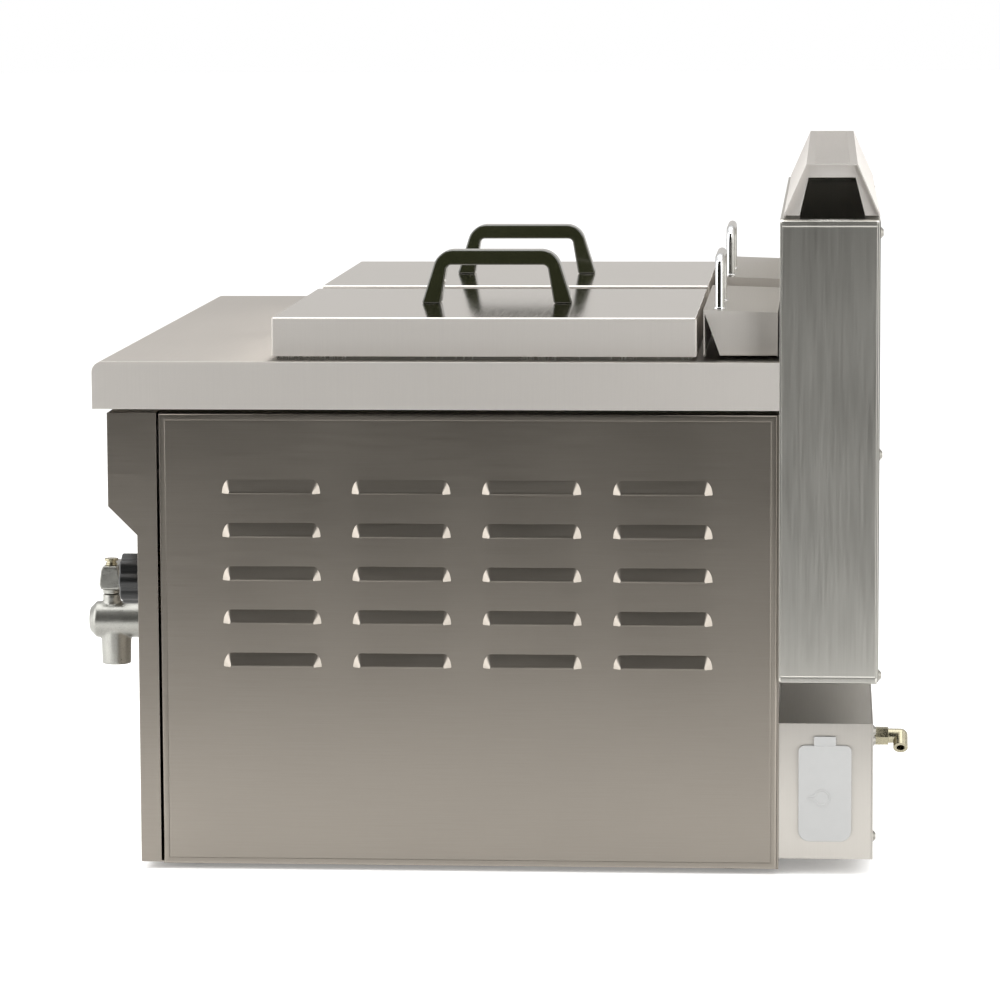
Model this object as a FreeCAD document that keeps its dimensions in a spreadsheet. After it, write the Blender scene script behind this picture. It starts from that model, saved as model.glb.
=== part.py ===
"""Countertop gas fryer with two tanks: one solid per sub-part, in millimetres.

+X is the fryer's right, its front faces -Y and +Z is up. The sizes below are measured
from the bottom front edge of the deck, and every sub-part's Placement brings them to
the shared origin: the middle of the whole part's footprint, at the soles of its feet.
"""
import FreeCAD, Part
import os
import re
import Sketcher

Vector = FreeCAD.Vector

DIMENSIONS = {
    # worktop
    "deck_wide": 800, "deck_deep": 611.6, "deck_top": 453.9, "lip_tall": 42.5,
    "lip_round": 9.5, "deck_thick": 1.5,
    # cabinet sheet metal
    "foot_tall": 5, "foot_radius": 16, "sheet": 1.2, "panel_set": 3, "panel_front": 58.7,
    "panel_gap": 4.1, "flange": 14, "fold_round": 1, "rail_in": 11,
    # louvres
    "louvre_first": 115.5, "louvre_pitch": 116.4, "louvre_wide": 88, "louvre_low": 180,
    "louvre_step": 39, "louvre_tall": 12, "louvre_out": 5,
    # front housing
    "brow_front": 13.1, "brow_drop": 84, "front_face": 39, "front_rear": 57.1,
    "front_base": 2, "front_set": 1, "front_gap": 3.4,
    # tanks, one module each side of the middle
    "lid_gap": 43.6, "tank_mid": 348.5, "tank_in": 28, "tank_wall": 1.5, "well_wide": 160,
    "well_drop": 21.2, "slope_low": 21.8, "slope_high": 81.8, "tank_gap": 1, "rim_thick": 3,
    "rim_inset": 4, "drain_drop": 260.7,
    # lids and their grips
    "lid_wide": 359, "lid_deep": 378.3, "lid_rise": 38.1, "lid_round": 2, "hem": 10,
    "rest_gap": 0.3, "grip_half": 70, "grip_foot": 21, "grip_lean": 9, "grip_rise": 49.4,
    "grip_bar": 13.9, "grip_wide": 22, "grip_round": 13, "grip_inner": 6, "grip_bevel": 4,
    # removable rear shelves and their lifting loops
    "shelf_shift": 14.45, "shelf_wide": 312.5, "shelf_deep": 65.9, "shelf_set": 2,
    "shelf_rise": 44.5, "shelf_slope": 2.4, "shelf_gap": 4.1, "gusset_cut": 14.7,
    "shelf_tab": 20, "loop_rod": 4.15, "loop_back": 14.3, "loop_edge": 7, "loop_span": 98,
    "loop_rise": 49.6, "loop_bend": 12, "loop_root": 18,
    # flue
    "flue_low": 167.7, "flue_rise": 126.2, "flue_deep": 88.1, "flue_round": 6,
    "slot_ahead": 17, "slot_behind": 13.6, "slot_end": 8, "vent_wide": 180,
    "vent_low": 200, "vent_tall": 150, "vent_gap": 2,
    "cap_lift": 2.9, "cap_ahead": 2.9, "cap_behind": 0.3, "cap_lean": 20, "cap_rise": 48.3,
    "cap_end": 4, "cap_port_in": 7, "cap_port": 6, "cap_pitch": 16, "cap_ports": 48,
    "cap_tab": 24, "cap_inset": 5, "cap_band": 12,
    # ignition box behind the cabinet
    "ibox_set": 5, "ibox_behind": 5.4, "ibox_low": 9.5, "ibox_top": 132,
    "cell_back": 41.25, "holder_wide": 47.1, "holder_low": 25.7, "holder_top": 112.3,
    "holder_lip": 1.2, "holder_deep": 39, "holder_in": 3, "holder_wall": 1.5,
    "cell_radius": 16.5, "cell_tall": 61, "tab_wide": 19.6, "tab_tall": 8.2,
    "cover_gap": 0.4, "cover_thick": 2.4, "cover_round": 5, "cover_sweep": 12,
    "module_wide": 60, "module_deep": 40, "module_tall": 38, "module_x": 250,
    # gas train
    "pipe_in": 60, "pipe_z": 112, "pipe_radius": 7, "pipe_gap": 0.5, "main_y": 75,
    "main_over": 22.2, "main_size": 20, "main_wall": 2, "main_end": 28, "hex_flats": 15,
    "hex_long": 14, "elbow_out": 11, "elbow_radius": 6.5, "nozzle_long": 14,
    "nozzle_bore": 3.6, "nozzle_turn": 130,
    "knob_side": 128.7, "knob_drop": 204.1, "knob_radius": 22.8, "knob_front": 13.8,
    "knob_gap": 1.5, "knob_flutes": 8, "flute_radius": 8, "flute_deep": 2.2,
    "knob_bevel": 1.5, "mark_wide": 2, "mark_long": 14, "mark_deep": 0.8,
    "stem_radius": 4, "stem_front": 22, "stem_rear": 58, "stem_clear": 0.5,
    "running_gap": 0.05, "valve_wide": 44, "valve_tall": 56,
    "burner_side": 110, "burner_radius": 17, "burner_z": 160, "burner_front": 140,
    "burner_rear": 520, "burner_wall": 2, "jet_radius": 4, "jet_in": 5,
    "shield_wide": 322, "shield_low": 125, "shield_top": 300, "shield_front": 130,
    "shield_leg": 20, "leg_side": 60, "leg_front": 200, "bracket_deep": 24,
    "pilot_side": 60, "pilot_y": 155, "pilot_radius": 5, "pilot_tall": 45,
    "spark_radius": 2, "spark_tall": 52, "bulb_radius": 4, "bulb_long": 160,
    "bulb_in": 30, "bulb_over": 25, "clip_wide": 10, "clip_thick": 2,
    # drain taps
    "tap_radius": 17, "tap_front": 37, "nose": 6, "spout_y": 13, "spout_radius": 14.6,
    "spout_end": 13.5, "spout_drop": 41.6, "bore_radius": 10, "collar_radius": 19,
    "collar_thick": 3, "neck_radius": 8.3, "neck_rise": 24, "drain_radius": 13.5,
    "drain_gap": 0.5, "lever_y": 16.8, "lever_wide": 20.6, "lever_skirt": 5,
    "lever_tall": 27, "lever_long": 46, "lever_back": 11, "lever_bevel": 3.5,
    "spindle_radius": 5, "spindle_long": 13.7, "screw_radius": 6.5, "screw_waist": 4.6,
    "screw_step": 2.2, "shank_radius": 2.5, "shank_long": 10,
    # dome-headed screws on the rear panels
    "dome_radius": 5.5, "dome_tall": 2.6, "dome_in": 10, "dome_top": 568,
    "dome_middle": 372, "dome_low": 175, "dome_box": 124, "dome_foot": 28.9,
    "dome_side": 25,
}

DERIVED = {
    "panel_half": "(deck_wide / 2 - panel_set)",
    "panel_rear": "(deck_deep - deck_thick)",
    "panel_top": "(deck_top - lip_tall - panel_gap)",
    "deck_under": "(deck_top - deck_thick)",
    "front_half": "(deck_wide / 2 - front_set)",
    "front_top": "(deck_top - lip_tall - front_gap)",
    "brow_low": "(front_top - brow_drop)",
    "module": "((lid_wide + lid_gap) / 2)",
    "tank_wide": "(lid_wide - 2 * tank_in)",
    "tank_deep": "(lid_deep - 2 * tank_in)",
    "tank_front": "(tank_mid - tank_deep / 2)",
    "drain_z": "(deck_top - drain_drop)",
    "well_low": "(drain_z - well_drop)",
    "well_top": "(drain_z + slope_low)",
    "wall_low": "(drain_z + slope_high)",
    "lid_low": "(deck_top + rim_thick + rest_gap)",
    "lid_top": "(deck_top + lid_rise)",
    "grip_top": "(lid_top + grip_rise)",
    "shelf_rear": "(deck_deep - shelf_set)",
    "shelf_front": "(shelf_rear - shelf_deep)",
    "shelf_top": "(deck_top + shelf_rise)",
    "shelf_low": "(deck_top + shelf_gap)",
    "loop_y": "(shelf_front + loop_back)",
    "loop_top": "(shelf_top + loop_rise)",
    "flue_half": "(deck_wide / 2)",
    "flue_top": "(deck_top + flue_rise)",
    "flue_rear": "(deck_deep + flue_deep)",
    "flue_back": "(flue_rear - sheet)",
    "slot_front": "(deck_deep + slot_ahead)",
    "slot_rear": "(flue_rear - slot_behind)",
    "slot_half": "(flue_half - slot_end)",
    "cap_half": "(flue_half - cap_end)",
    "cap_low": "(flue_top + cap_lift)",
    "cap_top": "(flue_top + cap_rise)",
    "cap_front": "(deck_deep + cap_ahead)",
    "cap_rear": "(flue_rear - cap_behind)",
    "ridge_front": "(cap_front + cap_lean)",
    "ridge_rear": "(cap_rear - cap_lean)",
    "ibox_half": "(deck_wide / 2 - ibox_set)",
    "ibox_rear": "(flue_rear - ibox_behind)",
    "ibox_back": "(ibox_rear + sheet)",
    "cell_y": "(deck_deep + cell_back)",
    "pipe_x": "(deck_wide / 2 - pipe_in)",
    "valve_front": "(front_face + sheet)",
    "valve_rear": "(main_y - main_size / 2)",
    "knob_z": "(deck_top - knob_drop)",
    "knob_rear": "(front_face - knob_gap)",
    "main_z": "(knob_z + main_over)",
    "main_half": "(deck_wide / 2 - main_end)",
    "elbow_y": "(ibox_back + hex_long + elbow_out)",
    "feed_y": "((valve_front + valve_rear) / 2)",
    "neck_top": "(drain_z + neck_rise)",
    "lever_low": "(neck_top + rest_gap)",
    "lever_top": "(lever_low + lever_tall)",
    "reach_front": "tap_front",
    "reach_rear": "(elbow_y + elbow_radius)",
}

doc = FreeCAD.newDocument("fryer")
sheet = doc.addObject("Spreadsheet::Sheet", "Dims")
for row, (alias, number) in enumerate(DIMENSIONS.items(), start=1):
    sheet.set(f"A{row}", alias)
    sheet.set(f"B{row}", str(number))
    sheet.setAlias(f"B{row}", alias)
doc.recompute()

NODES = []


def ref(formula):
    """The formula with every name written out down to its spreadsheet cells."""
    def write_out(hit):
        name = hit[0]
        if name in DERIVED:
            return ref(DERIVED[name])
        return f"Dims.{name}" if name in DIMENSIONS else name

    return re.sub(r"[a-z_]+", write_out, str(formula))


def value(formula):
    return float(sheet.evalExpression(ref(formula)))


def bind(obj, **properties):
    """Bind each property of the object to a formula; a double underscore is a dot."""
    for name, formula in properties.items():
        obj.setExpression(name.replace("__", "."), ref(formula))


def place(obj, x="0", y="0", z="0"):
    bind(obj, Placement__Base__x=x, Placement__Base__y=y, Placement__Base__z=z)


def node(name, obj, x="0"):
    """Name the object as a sub-part and bring it from its own place to the shared origin."""
    obj.Label = name
    own = {path.lstrip("."): formula for path, formula in obj.ExpressionEngine}
    for axis, shift in zip("xyz", (x, "(reach_front - reach_rear) / 2", "foot_tall")):
        path = f"Placement.Base.{axis}"
        obj.setExpression(path, f"({own.get(path, 0)}) + {ref(shift)}")
    NODES.append(obj)


# ---- primitives and booleans


def box(x, y, z):
    """A block between the two formulas given for each axis."""
    block = doc.addObject("Part::Box", "Block")
    bind(block, Length=f"({x[1]}) - ({x[0]})", Width=f"({y[1]}) - ({y[0]})")
    bind(block, Height=f"({z[1]}) - ({z[0]})")
    place(block, x[0], y[0], z[0])
    return block


def middle(size, centre="0"):
    """The two ends of a size laid evenly about a centre."""
    return (f"{centre} - ({size}) / 2", f"{centre} + ({size}) / 2")


TURNS = {
    "x": FreeCAD.Rotation(Vector(0, 1, 0), 90),
    "y": FreeCAD.Rotation(Vector(1, 0, 0), -90),
    "z": FreeCAD.Rotation(),
    "-z": FreeCAD.Rotation(Vector(1, 0, 0), 180),
    "nozzle": FreeCAD.Rotation(Vector(0, 1, 0), DIMENSIONS["nozzle_turn"]),
}


def rod(radius, length, x, y, z, axis, end_radius=None):
    """A round bar from the given point along the axis; tapered when end_radius is given."""
    kind = "Part::Cylinder" if end_radius is None else "Part::Cone"
    bar = doc.addObject(kind, "Bar")
    if end_radius is None:
        bind(bar, Radius=radius)
    else:
        bind(bar, Radius1=radius, Radius2=end_radius)
    bind(bar, Height=length)
    bar.Placement = FreeCAD.Placement(Vector(), TURNS[axis])
    place(bar, x, y, z)
    return bar


def ball(radius, x, y, z):
    sphere = doc.addObject("Part::Sphere", "Ball")
    bind(sphere, Radius=radius)
    place(sphere, x, y, z)
    return sphere


def join(pieces):
    result = doc.addObject("Part::MultiFuse", "Join")
    result.Shapes = pieces
    result.Refine = True
    return result


def cut(base, tools):
    result = doc.addObject("Part::Cut", "Cut")
    result.Base = base
    result.Tool = tools[0] if len(tools) == 1 else join(tools)
    return result


# ---- bodies, sketches and features


def role(body, name):
    return next(item for item in body.Origin.OriginFeatures if item.Role == name)


def sketch(body, plane, loops, offset="0"):
    """Closed outlines on an origin plane, every corner bound to its two formulas."""
    outline = body.newObject("Sketcher::SketchObject", "Outline")
    outline.AttachmentSupport = [(role(body, plane), "")]
    outline.MapMode = "FlatFace"
    bind(outline, AttachmentOffset__Base__z=offset)
    for corners in loops:
        points = [Vector(value(across), value(up), 0) for across, up in corners]
        first = outline.GeometryCount
        count = len(points)
        for index in range(count):
            edge = Part.LineSegment(points[index], points[(index + 1) % count])
            outline.addGeometry(edge, False)
        for index in range(count):
            follower = first + (index + 1) % count
            outline.addConstraint(
                Sketcher.Constraint("Coincident", first + index, 2, follower, 1)
            )
        for index, corner in enumerate(corners):
            for kind, formula, size in zip(
                ("DistanceX", "DistanceY"), corner, (points[index].x, points[index].y)
            ):
                number = outline.addConstraint(
                    Sketcher.Constraint(kind, -1, 1, first + index, 1, size)
                )
                outline.setExpression(f"Constraints[{number}]", ref(formula))
    return outline


def circle(body, plane, radius, across, up, offset="0"):
    """One round outline on an origin plane."""
    outline = body.newObject("Sketcher::SketchObject", "Round")
    outline.AttachmentSupport = [(role(body, plane), "")]
    outline.MapMode = "FlatFace"
    bind(outline, AttachmentOffset__Base__z=offset)
    centre = Vector(value(across), value(up), 0)
    outline.addGeometry(Part.Circle(centre, Vector(0, 0, 1), value(radius)), False)
    for kind, formula, size in zip(("DistanceX", "DistanceY"), (across, up), centre):
        number = outline.addConstraint(Sketcher.Constraint(kind, -1, 1, 0, 3, size))
        outline.setExpression(f"Constraints[{number}]", ref(formula))
    number = outline.addConstraint(Sketcher.Constraint("Radius", 0, value(radius)))
    outline.setExpression(f"Constraints[{number}]", ref(radius))
    return outline


def rectangle(across, up):
    return [(across[0], up[0]), (across[1], up[0]), (across[1], up[1]), (across[0], up[1])]


def corner(across, up, radius, start):
    """Points of a quarter turn about a centre, from the start angle in degrees."""
    return [
        (f"{across} + ({radius}) * cos({start + step})", f"{up} + ({radius}) * sin({start + step})")
        for step in (0, 30, 60, 90)
    ]


def feature(body, kind, profile, length, reverse=False, midplane=False):
    """A Pad or a Pocket of the outline by the length the formula gives."""
    made = body.newObject(f"PartDesign::{kind}", kind)
    made.Profile = profile
    bind(made, Length=length)
    made.Reversed = reverse
    if midplane:
        made.Midplane = True
    return made


def new_body():
    return doc.addObject("PartDesign::Body", "Body")


def dress(body, kind, size, pick):
    """Fillet or chamfer the edges of the body's tip that pick(middle, direction) keeps."""
    doc.recompute()
    tip = body.Tip
    names = []
    for index, edge in enumerate(tip.Shape.Edges, start=1):
        if edge.Curve.TypeId != "Part::GeomLine":
            continue
        start, end = edge.Vertexes[0].Point, edge.Vertexes[-1].Point
        direction = (end - start).normalize()
        if pick((start + end) / 2, direction):
            names.append(f"Edge{index}")
    made = body.newObject(f"PartDesign::{kind}", kind)
    made.Base = (tip, names)
    bind(made, **{"Radius" if kind == "Fillet" else "Size": size})
    body.Tip = made
    return made


def near(number, formula, within=0.01):
    return abs(number - value(formula)) < within


def along(direction, axis):
    return abs(getattr(direction, axis)) > 0.999


SIDES = {"right": 1, "left": -1}

# ---- the cabinet


def side_panel(name, side):
    """Folded louvred panel with a rail on its top flange that carries the deck."""
    body = new_body()
    skin = (f"{side} * (panel_half - sheet)", f"{side} * panel_half")
    turned_in = f"{side} * (panel_half - flange)"
    rail = f"{side} * (panel_half - rail_in)"
    rail_inner = f"{side} * (panel_half - rail_in - sheet)"
    profile = sketch(body, "XZ_Plane", [[
        (skin[1], "0"),
        (skin[1], "panel_top"),
        (rail, "panel_top"),
        (rail, "deck_under"),
        (rail_inner, "deck_under"),
        (rail_inner, "panel_top - sheet"),
        (skin[0], "panel_top - sheet"),
        (skin[0], "sheet"),
        (turned_in, "sheet"),
        (turned_in, "0"),
    ]], "-panel_rear")
    feature(body, "Pad", profile, "panel_rear - panel_front")
    for depth, height in (
        (("panel_front", "panel_front + sheet"), "2 * sheet"),
        (("panel_rear - sheet", "panel_rear"), "2 * sheet"),
    ):
        returned = sketch(
            body, "XY_Plane",
            [rectangle((turned_in, f"{side} * (panel_half - sheet / 2)"), depth)], height,
        )
        feature(body, "Pad", returned, "panel_top - 2.5 * sheet")
    dress(
        body, "Fillet", "fold_round",
        lambda spot, way: near(spot.x, skin[1]) and not along(way, "x"),
    )
    hood_sizes = (("0", "0", f"{side} * panel_half"),
                  ("louvre_out", "louvre_out", f"{side} * (panel_half + louvre_out)"))
    for kind, wall in (("AdditiveLoft", "0"), ("SubtractiveLoft", "sheet")):
        sections = []
        for inset, drop, offset in hood_sizes:
            ends = ("louvre_first + " + inset + " + " + wall,
                    "louvre_first + louvre_wide - " + inset + " - " + wall)
            top = f"louvre_low + louvre_tall - {drop} + 1 - {wall}"
            corner = "louvre_out"
            shift = f"{offset} - {side} * {wall}"
            sections.append(sketch(body, "YZ_Plane", [[
                (ends[0], "louvre_low"),
                (ends[1], "louvre_low"),
                (ends[1], f"{top} - {corner}"),
                (f"{ends[1]} - {corner}", top),
                (f"{ends[0]} + {corner}", top),
                (ends[0], f"{top} - {corner}"),
            ]], shift))
        hood = body.newObject(f"PartDesign::{kind}", "Hood")
        hood.Profile = sections[0]
        hood.Sections = [sections[1]]
        hood.Ruled = True
        doc.recompute()
    louvres = body.newObject("PartDesign::MultiTransform", "Louvres")
    louvres.Originals = [item for item in body.Group if item.Name.startswith("Hood")]
    columns = body.newObject("PartDesign::LinearPattern", "Columns")
    columns.Direction = (role(body, "Y_Axis"), [""])
    bind(columns, Length="3 * louvre_pitch")
    columns.Occurrences = 4
    rows = body.newObject("PartDesign::LinearPattern", "Rows")
    rows.Direction = (role(body, "Z_Axis"), [""])
    bind(rows, Length="4 * louvre_step")
    rows.Occurrences = 5
    louvres.Transformations = [columns, rows]
    body.Tip = louvres
    node(name, body)


for word, side in SIDES.items():
    side_panel(f"side_panel_{word}", side)

tray_depth = ("front_face + sheet", "panel_rear")
tray_width = middle("2 * (panel_half - sheet)")
node("bottom_tray", join([
    box(tray_width, tray_depth, ("sheet", "2 * sheet")),
    box(tray_width, ("front_face + sheet", "front_face + 2 * sheet"), ("sheet", "flange")),
]))

front = new_body()
slope = "(front_face - brow_front)"
feature(front, "Pad", sketch(front, "YZ_Plane", [[
    ("front_rear", "front_top"),
    ("brow_front", "front_top"),
    ("brow_front", "brow_low"),
    ("front_face", f"brow_low - {slope}"),
    ("front_face", "front_base"),
    ("front_rear", "front_base"),
]]), "2 * front_half", midplane=True)
feature(front, "Pocket", sketch(front, "YZ_Plane", [[
    ("front_rear + sheet", "front_top - sheet"),
    ("brow_front + sheet", "front_top - sheet"),
    ("brow_front + sheet", "brow_low + sheet / 2"),
    ("front_face + sheet", f"brow_low - {slope} + sheet / 2"),
    ("front_face + sheet", "front_base - sheet"),
    ("front_rear + sheet", "front_base - sheet"),
]]), "2 * (front_half - sheet)", midplane=True)
header = sketch(front, "XY_Plane", [rectangle(
    middle("2 * (front_half - 2 * flange)"), ("front_rear - sheet", "front_rear"),
)], "front_top - sheet")
feature(front, "Pad", header, "deck_under - front_top + sheet")
for side in SIDES.values():
    for radius, across, up in (
        ("drain_radius + drain_gap", f"{side} * module", "drain_z"),
        ("stem_radius + stem_clear", f"{side} * module + knob_side", "knob_z"),
    ):
        hole = circle(front, "XZ_Plane", radius, across, up, "-front_face - 2 * sheet")
        feature(front, "Pocket", hole, "4 * sheet", reverse=True)
node("front_housing", front)

vents = [box(
    middle("vent_wide", f"{side} * module"),
    ("panel_rear - sheet", "deck_deep + 2 * sheet"),
    ("vent_low", "vent_low + vent_tall"),
) for side in SIDES.values()]
pipe_hole = rod(
    "pipe_radius + pipe_gap", "4 * sheet", "pipe_x", "panel_rear - sheet", "pipe_z", "y"
)
node("back_panel", cut(
    box(tray_width, ("panel_rear", "deck_deep"), ("0", "panel_top")), [pipe_hole, *vents],
))

deck = new_body()
top = sketch(deck, "XY_Plane", [rectangle(middle("deck_wide"), ("0", "deck_deep"))],
             "deck_top - lip_tall")
feature(deck, "Pad", top, "lip_tall")
dress(deck, "Fillet", "lip_round", lambda spot, way: (
    near(spot.y, "0") and near(spot.z, "deck_top") and along(way, "x")))
feature(deck, "Pocket", sketch(deck, "YZ_Plane", [[
    ("panel_rear", "deck_top - lip_tall - sheet"),
    ("panel_rear", "deck_under"),
    *corner("lip_round", "deck_top - lip_round", "lip_round - deck_thick", 90),
    ("deck_thick", "deck_top - lip_tall - sheet"),
]]), "deck_wide - 2 * deck_thick", midplane=True)
openings = sketch(deck, "XY_Plane", [rectangle(
    middle("tank_wide + 2 * tank_gap", f"{side} * module"),
    middle("tank_deep + 2 * tank_gap", "tank_mid"),
) for side in SIDES.values()], "deck_top")
feature(deck, "Pocket", openings, "2 * deck_thick")
node("deck", deck)

node("feet", join([
    rod("foot_radius", "foot_tall + sheet", f"{side} * (panel_half - 3 * flange)", depth,
        "-foot_tall", "z", "foot_radius + 2")
    for side in SIDES.values()
    for depth in ("panel_front + 2 * flange", "panel_rear - 3 * flange")
]))

# ---- tanks, burners and drains: the same module twice


def tank(name, x):
    """Pressed tank: rim on the deck, straight walls, sloped floor and a cold well."""
    body = new_body()

    def section(wall, top, bottom):
        half = f"(tank_wide / 2 - {wall})"
        well = f"(well_wide / 2 - {wall})"
        return [
            (f"-{half}", top),
            (f"-{half}", f"wall_low + {wall} / 2"),
            (f"-{well}", f"well_top + {wall} / 2"),
            (f"-{well}", bottom),
            (well, bottom),
            (well, f"well_top + {wall} / 2"),
            (half, f"wall_low + {wall} / 2"),
            (half, top),
        ]

    shell = sketch(body, "XZ_Plane", [section("0", "deck_top", "well_low")], "-tank_mid")
    feature(body, "Pad", shell, "tank_deep", midplane=True)
    rim = sketch(body, "XY_Plane", [rectangle(
        middle("lid_wide - 2 * rim_inset"), middle("lid_deep - 2 * rim_inset", "tank_mid"),
    )], "deck_top")
    feature(body, "Pad", rim, "rim_thick")
    hollow = sketch(body, "XZ_Plane", [
        section("tank_wall", "deck_top + 2 * rim_thick", "well_low + tank_wall")
    ], "-tank_mid")
    feature(body, "Pocket", hollow, "tank_deep - 2 * tank_wall", midplane=True)
    drain = circle(body, "XZ_Plane", "bore_radius", "0", "drain_z",
                   "-tank_front - 2 * tank_wall")
    feature(body, "Pocket", drain, "4 * tank_wall", reverse=True)
    node(name, body, x)


def thermostat_bulb(name, x):
    """Sensing bulb held by two clips off the tank's inner wall."""
    wall = "tank_wide / 2 - tank_wall"
    bulb_x = f"{wall} - bulb_in"
    bulb_z = "wall_low + bulb_over"
    clips = [
        box((bulb_x, wall), middle("clip_wide", f"tank_mid + {end} * bulb_long / 3"),
            (bulb_z, f"{bulb_z} + clip_thick"))
        for end in SIDES.values()
    ]
    bulb = rod("bulb_radius", "bulb_long", bulb_x, "tank_mid - bulb_long / 2", bulb_z, "y")
    node(name, join([bulb, *clips]), x)


def heat_shield(name, x):
    """Sheet trough round the burners, open upwards and into the flue, on two legs."""
    width = middle("shield_wide")
    inner = middle("shield_wide - 2 * sheet")
    depth = ("shield_front", "panel_rear")
    tub = cut(box(width, depth, ("shield_low", "shield_top")), [
        box(inner, ("shield_front + sheet", "panel_rear + sheet"),
            ("shield_low + sheet", "shield_top + sheet")),
        rod("drain_radius + drain_gap", "4 * sheet", "0", "shield_front - sheet",
            "drain_z", "y"),
        *[rod("burner_radius", "4 * sheet", f"{side} * burner_side",
              "shield_front - sheet", "burner_z", "y") for side in SIDES.values()],
    ])
    legs = [
        box(middle("shield_leg", f"{side} * leg_side"), ("leg_front", "panel_rear - flange"),
            ("2 * sheet", "shield_low"))
        for side in SIDES.values()
    ]
    node(name, join([tub, *legs]), x)


def burner(name, x):
    """Two tube burners with slotted tops on one cross bracket."""
    span = "burner_rear - burner_front"
    tubes = []
    bores = []
    for side in SIDES.values():
        axis_x = f"{side} * burner_side"
        tubes.append(rod("burner_radius", span, axis_x, "burner_front", "burner_z", "y"))
        bores.append(rod("burner_radius - burner_wall", f"{span} - burner_wall", axis_x,
                         "burner_front", "burner_z", "y"))
        bores.append(box(middle("burner_wall", axis_x),
                         ("burner_front + 2 * burner_radius", "burner_rear - burner_radius"),
                         ("burner_z", "burner_z + 2 * burner_radius")))
    bracket = box(middle("2 * (burner_side + burner_radius)"),
                  middle("bracket_deep", "(burner_front + burner_rear) / 2"),
                  ("shield_low + sheet", "burner_z - burner_radius + burner_wall / 2"))
    node(name, cut(join([*tubes, bracket]), bores), x)


def burner_feed(name, x):
    """Branch pipe from the valve to a cross pipe with one jet per burner tube."""
    parts = [
        rod("pipe_radius", "knob_z - valve_tall / 2 - burner_z", "knob_side", "feed_y",
            "burner_z", "z"),
        ball("pipe_radius", "knob_side", "feed_y", "burner_z"),
        rod("pipe_radius", "knob_side + burner_side", "-burner_side", "feed_y",
            "burner_z", "x"),
        ball("pipe_radius", "-burner_side", "feed_y", "burner_z"),
    ]
    for side in SIDES.values():
        parts.append(rod("jet_radius", "burner_front + jet_in - feed_y",
                         f"{side} * burner_side", "feed_y", "burner_z", "y"))
    node(name, join(parts), x)


def pilot(name, x):
    """Pilot tube and spark electrode on a foot plate."""
    floor = "shield_low + sheet"
    foot = box(("pilot_side - 2 * pilot_radius", "pilot_side + 4 * pilot_radius"),
               middle("3 * pilot_radius", "pilot_y"), (floor, f"{floor} + clip_thick"))
    tube = rod("pilot_radius", "pilot_tall", "pilot_side", "pilot_y", floor, "z")
    spark = rod("spark_radius", "spark_tall", "pilot_side + 2.5 * pilot_radius", "pilot_y",
                floor, "z")
    node(name, join([foot, tube, spark]), x)


def gas_valve(name, x):
    body = box(middle("valve_wide", "knob_side"), ("valve_front", "valve_rear"),
               middle("valve_tall", "knob_z"))
    bore = rod("stem_radius + running_gap", "stem_rear + rest_gap - valve_front + sheet",
               "knob_side", "valve_front - sheet", "knob_z", "y")
    node(name, cut(body, [bore]), x)


def valve_stem(name, x):
    node(name, rod("stem_radius", "stem_rear - stem_front", "0", "stem_front", "0", "y"), x)


def knob(name, x):
    """Fluted control knob with an index mark across its face."""
    rim = "knob_radius - knob_bevel"
    blank = join([
        rod(rim, "knob_bevel", "0", "knob_front", "0", "y", "knob_radius"),
        rod("knob_radius", "knob_rear - knob_front - 2 * knob_bevel", "0",
            "knob_front + knob_bevel", "0", "y"),
        rod("knob_radius", "knob_bevel", "0", "knob_rear - knob_bevel", "0", "y", rim),
    ])
    reach = "(knob_radius + flute_radius - flute_deep)"
    cutters = []
    for index in range(DIMENSIONS["knob_flutes"]):
        angle = f"({index} + 0.5) * 360 / knob_flutes"
        cutters.append(rod("flute_radius", "knob_rear - knob_front + 2 * knob_bevel",
                           f"{reach} * cos({angle})", "knob_front - knob_bevel",
                           f"{reach} * sin({angle})", "y"))
    cutters.append(rod("stem_radius", "knob_rear - stem_front + knob_bevel", "0",
                       "stem_front", "0", "y"))
    cutters.append(box(middle("mark_wide"), ("knob_front - mark_deep", "knob_front + mark_deep"),
                       ("knob_radius - knob_bevel - flute_deep - mark_long",
                        "knob_radius - knob_bevel - flute_deep")))
    node(name, cut(blank, cutters), x)


def drain_pipe(name, x):
    tube = rod("drain_radius", "tank_front - front_face", "0", "front_face", "drain_z", "y")
    bore = rod("bore_radius", "tank_front - front_face", "0", "front_face", "drain_z", "y")
    node(name, cut(tube, [bore]), x)


def drain_tap(name, x):
    """Cast tap: barrel, nose, wall collar, spout and the neck that holds the spindle."""
    barrel_front = "nose - tap_front"
    casting = join([
        rod("tap_radius - nose", "nose", "0", "-tap_front", "drain_z", "y", "tap_radius"),
        rod("tap_radius", f"front_face - ({barrel_front})", "0", barrel_front, "drain_z", "y"),
        rod("collar_radius", "collar_thick", "0", "front_face - collar_thick", "drain_z", "y"),
        rod("spout_radius", "spout_drop", "0", "-spout_y", "drain_z", "-z", "spout_end"),
        rod("neck_radius", "neck_rise", "0", "-lever_y", "drain_z", "z"),
    ])
    node(name, cut(casting, [
        rod("bore_radius", f"front_face - ({barrel_front})", "0", barrel_front, "drain_z", "y"),
        rod("bore_radius", "2 * spout_drop", "0", "-spout_y", "drain_z", "-z"),
        rod("spindle_radius + running_gap", "2 * neck_rise", "0", "-lever_y", "drain_z", "z"),
    ]), x)


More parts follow.
